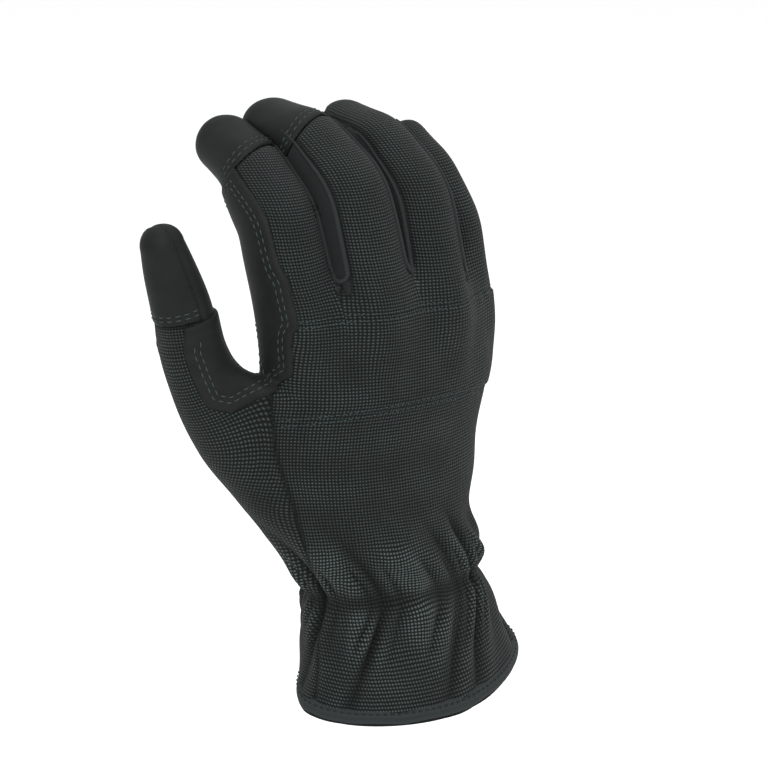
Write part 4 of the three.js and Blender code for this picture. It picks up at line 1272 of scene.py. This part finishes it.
# Build
points, quads = surface(CELL)
faces = np.vstack([quads[:, [0, 1, 2]], quads[:, [0, 2, 3]]])
for _ in range(2):
    points = settle(relax(points, faces, 0.5), 1)
points = settle(points, 2)
base = Places(points)
across, along = weave_place(base)
normal = normals(points, faces)
if inside_out(points, faces):
    faces = faces[:, ::-1]
    normal = -normal
folds = fold_height(base, across, along)
print("surface", len(points), len(faces))
data = np.stack([across, along, folds, *normal.T, *side_weave(base)], axis=1)
_, whole = clip((points, faces, data), base.along)
rest = whole
for name, nodes, field, material, slot, rows in PIECES:
    part = rest
    if field is not None:
        part, rest = clip(rest, field(Places(rest[0])))
        part, crumbs = main_part(part)
        rest = join(rest, crumbs)
    pts, fcs, dat = part
    places = Places(pts)
    out = unit(dat[:, 3:6])
    d = edge_distance(pts, fcs)
    h = dat[:, 2] - SEAM_DIP * hump(d, 0, SEAM_WIDE)
    weave = dat[:, :2]
    if name in ("index_tip", "middle_tip", "thumb_tip"):
        h = dat[:, 2] + CAP_RAISE * smooth(d / 0.8) - CAP_SINK
    if name == "thumb_side":
        weave = dat[:, 6:8]
    if name == "back_cloth":
        h = h + knuckle_height(places) * smooth((d - 0.5) / 2)
    if rows:
        values, insets, keep = rows(places, d)
        h = h + valleys(values, insets, keep, ROW_DIP)
    pts = pts + out * h[:, None]
    out = normals(pts, fcs)
    # Painted shade for the cloth's colour: the fold height, lowered on the cuff and lowered again at the piece's
    # seams
    fold_shade = np.clip(dat[:, 2] - CUFF_SHADE * hump(places.along, GATHER_AT - 6, 28), -1.7, 1.5)
    fold_shade -= SEAM_SHADE * hump(d, 0, 0.8)
    obj = thick_piece(name, pts, fcs, out, np.column_stack([weave, d]), WALL, material, fold_shade)
    declare(obj, nodes)
    print(name, len(pts), len(fcs))
    if rows:
        sew(name + "_thread", pts, fcs, out, values, insets, keep, THREAD, nodes[0], slot)
    if name == "back_cloth":
        low, high = knuckle_rows(places)
        keep = smooth(d - 1.5) - 0.01
        for row, values in (("low", places.along - low), ("high", places.along - high)):
            sew("knuckle_thread_" + row, pts, fcs, out, values, KNUCKLE_ROWS_AT, keep, CLOTH_THREAD,
                "knuckle_panel", slot, pitch=2.2, length=1.4, radius=0.19, raise_by=0.06)

(pts, fcs, dat), _ = clip(whole, patch_field(Places(whole[0])))
places = Places(pts)
out = unit(dat[:, 3:6])
d = edge_distance(pts, fcs)
values, insets, keep = patch_rows(places, d)
h = dat[:, 2] + PATCH_EDGE + PATCH_RAISE * smooth(d) + valleys(values, insets, keep, PATCH_ROW_DIP)
pts = pts + out * h[:, None]
out = normals(pts, fcs)
obj = thick_piece("saddle_patch", pts, fcs, out, np.column_stack([dat[:, :2], d]), PATCH_WALL, LEATHER)
declare(obj, ["crotch_patch"])
sew("patch_thread", pts, fcs, out, values, insets, keep, THREAD, "crotch_patch", "leather")

for i, (one, other) in enumerate((("index", "middle"), ("middle", "ring"), ("ring", "little"))):
    pts, fcs, weave = gusset_edge(i)
    obj = make_mesh("gusset_edge_" + one + "_" + other, pts, fcs, ROLL, {"weave": weave})
    declare(obj, ["fourchette_" + one + "_" + other])
declare(binding(), ["cuff_binding"])

# Floor, light and camera
SKY, FLOOR_TONE, FLOOR_Z, FLOOR_REACH = 0.97, 0.96, -0.3, 9
MIDDLE = (-0.01, 0.015, 0.10)
CAMERA_TURN, CAMERA_RISE, CAMERA_FAR, CAMERA_LENS = math.radians(-37), math.radians(16), 1.1, 143
FRAME_RIGHT, FRAME_UP = 0.00835, 0.00817
# name, place, size, power
LAMPS = [("key", (-1.1, -1.2, 1.4), 0.9, 40), ("fill", (1.3, -0.9, 0.7), 1.4, 6), ("top", (0.1, 0.3, 1.8), 1.2, 12)]

world = bpy.data.worlds.new("studio")
bpy.context.scene.world = world
world.use_nodes = True
background = world.node_tree.nodes["Background"]
background.inputs["Color"].default_value = (1, 1, 1, 1)
background.inputs["Strength"].default_value = SKY
bpy.context.scene.view_settings.view_transform = "Standard"

floor_mesh = bpy.data.meshes.new("floor")
corners = [(x * FLOOR_REACH, y * FLOOR_REACH, FLOOR_Z) for x, y in ((-1, -1), (1, -1), (1, 1), (-1, 1))]
floor_mesh.from_pydata(corners, [], [(0, 1, 2, 3)])
floor = show("floor", floor_mesh)
pale = Nodes("pale_floor")
pale.finish(Base_Color=(FLOOR_TONE, FLOOR_TONE, FLOOR_TONE, 1), Roughness=0.9)
floor_mesh.materials.append(pale.material)

for name, place, size, power in LAMPS:
    lamp = bpy.data.lights.new(name, "AREA")
    lamp.size, lamp.energy = size, power
    obj = show(name, lamp)
    obj.location = place
    obj.rotation_euler = (Vector(MIDDLE) - Vector(place)).to_track_quat("-Z", "Y").to_euler()

level_part = math.cos(CAMERA_RISE)
way = Vector((-math.sin(CAMERA_TURN) * level_part, math.cos(CAMERA_TURN) * level_part, -math.sin(CAMERA_RISE)))
right = Vector((math.cos(CAMERA_TURN), math.sin(CAMERA_TURN), 0))
aim = Vector(MIDDLE) + right * FRAME_RIGHT + right.cross(way) * FRAME_UP
camera = bpy.data.cameras.new("camera")
camera.lens, camera.sensor_width, camera.clip_end = CAMERA_LENS, 36, 50
view = show("camera", camera)
view.location = aim - way * CAMERA_FAR
view.rotation_euler = way.to_track_quat("-Z", "Y").to_euler()
bpy.context.scene.camera = view
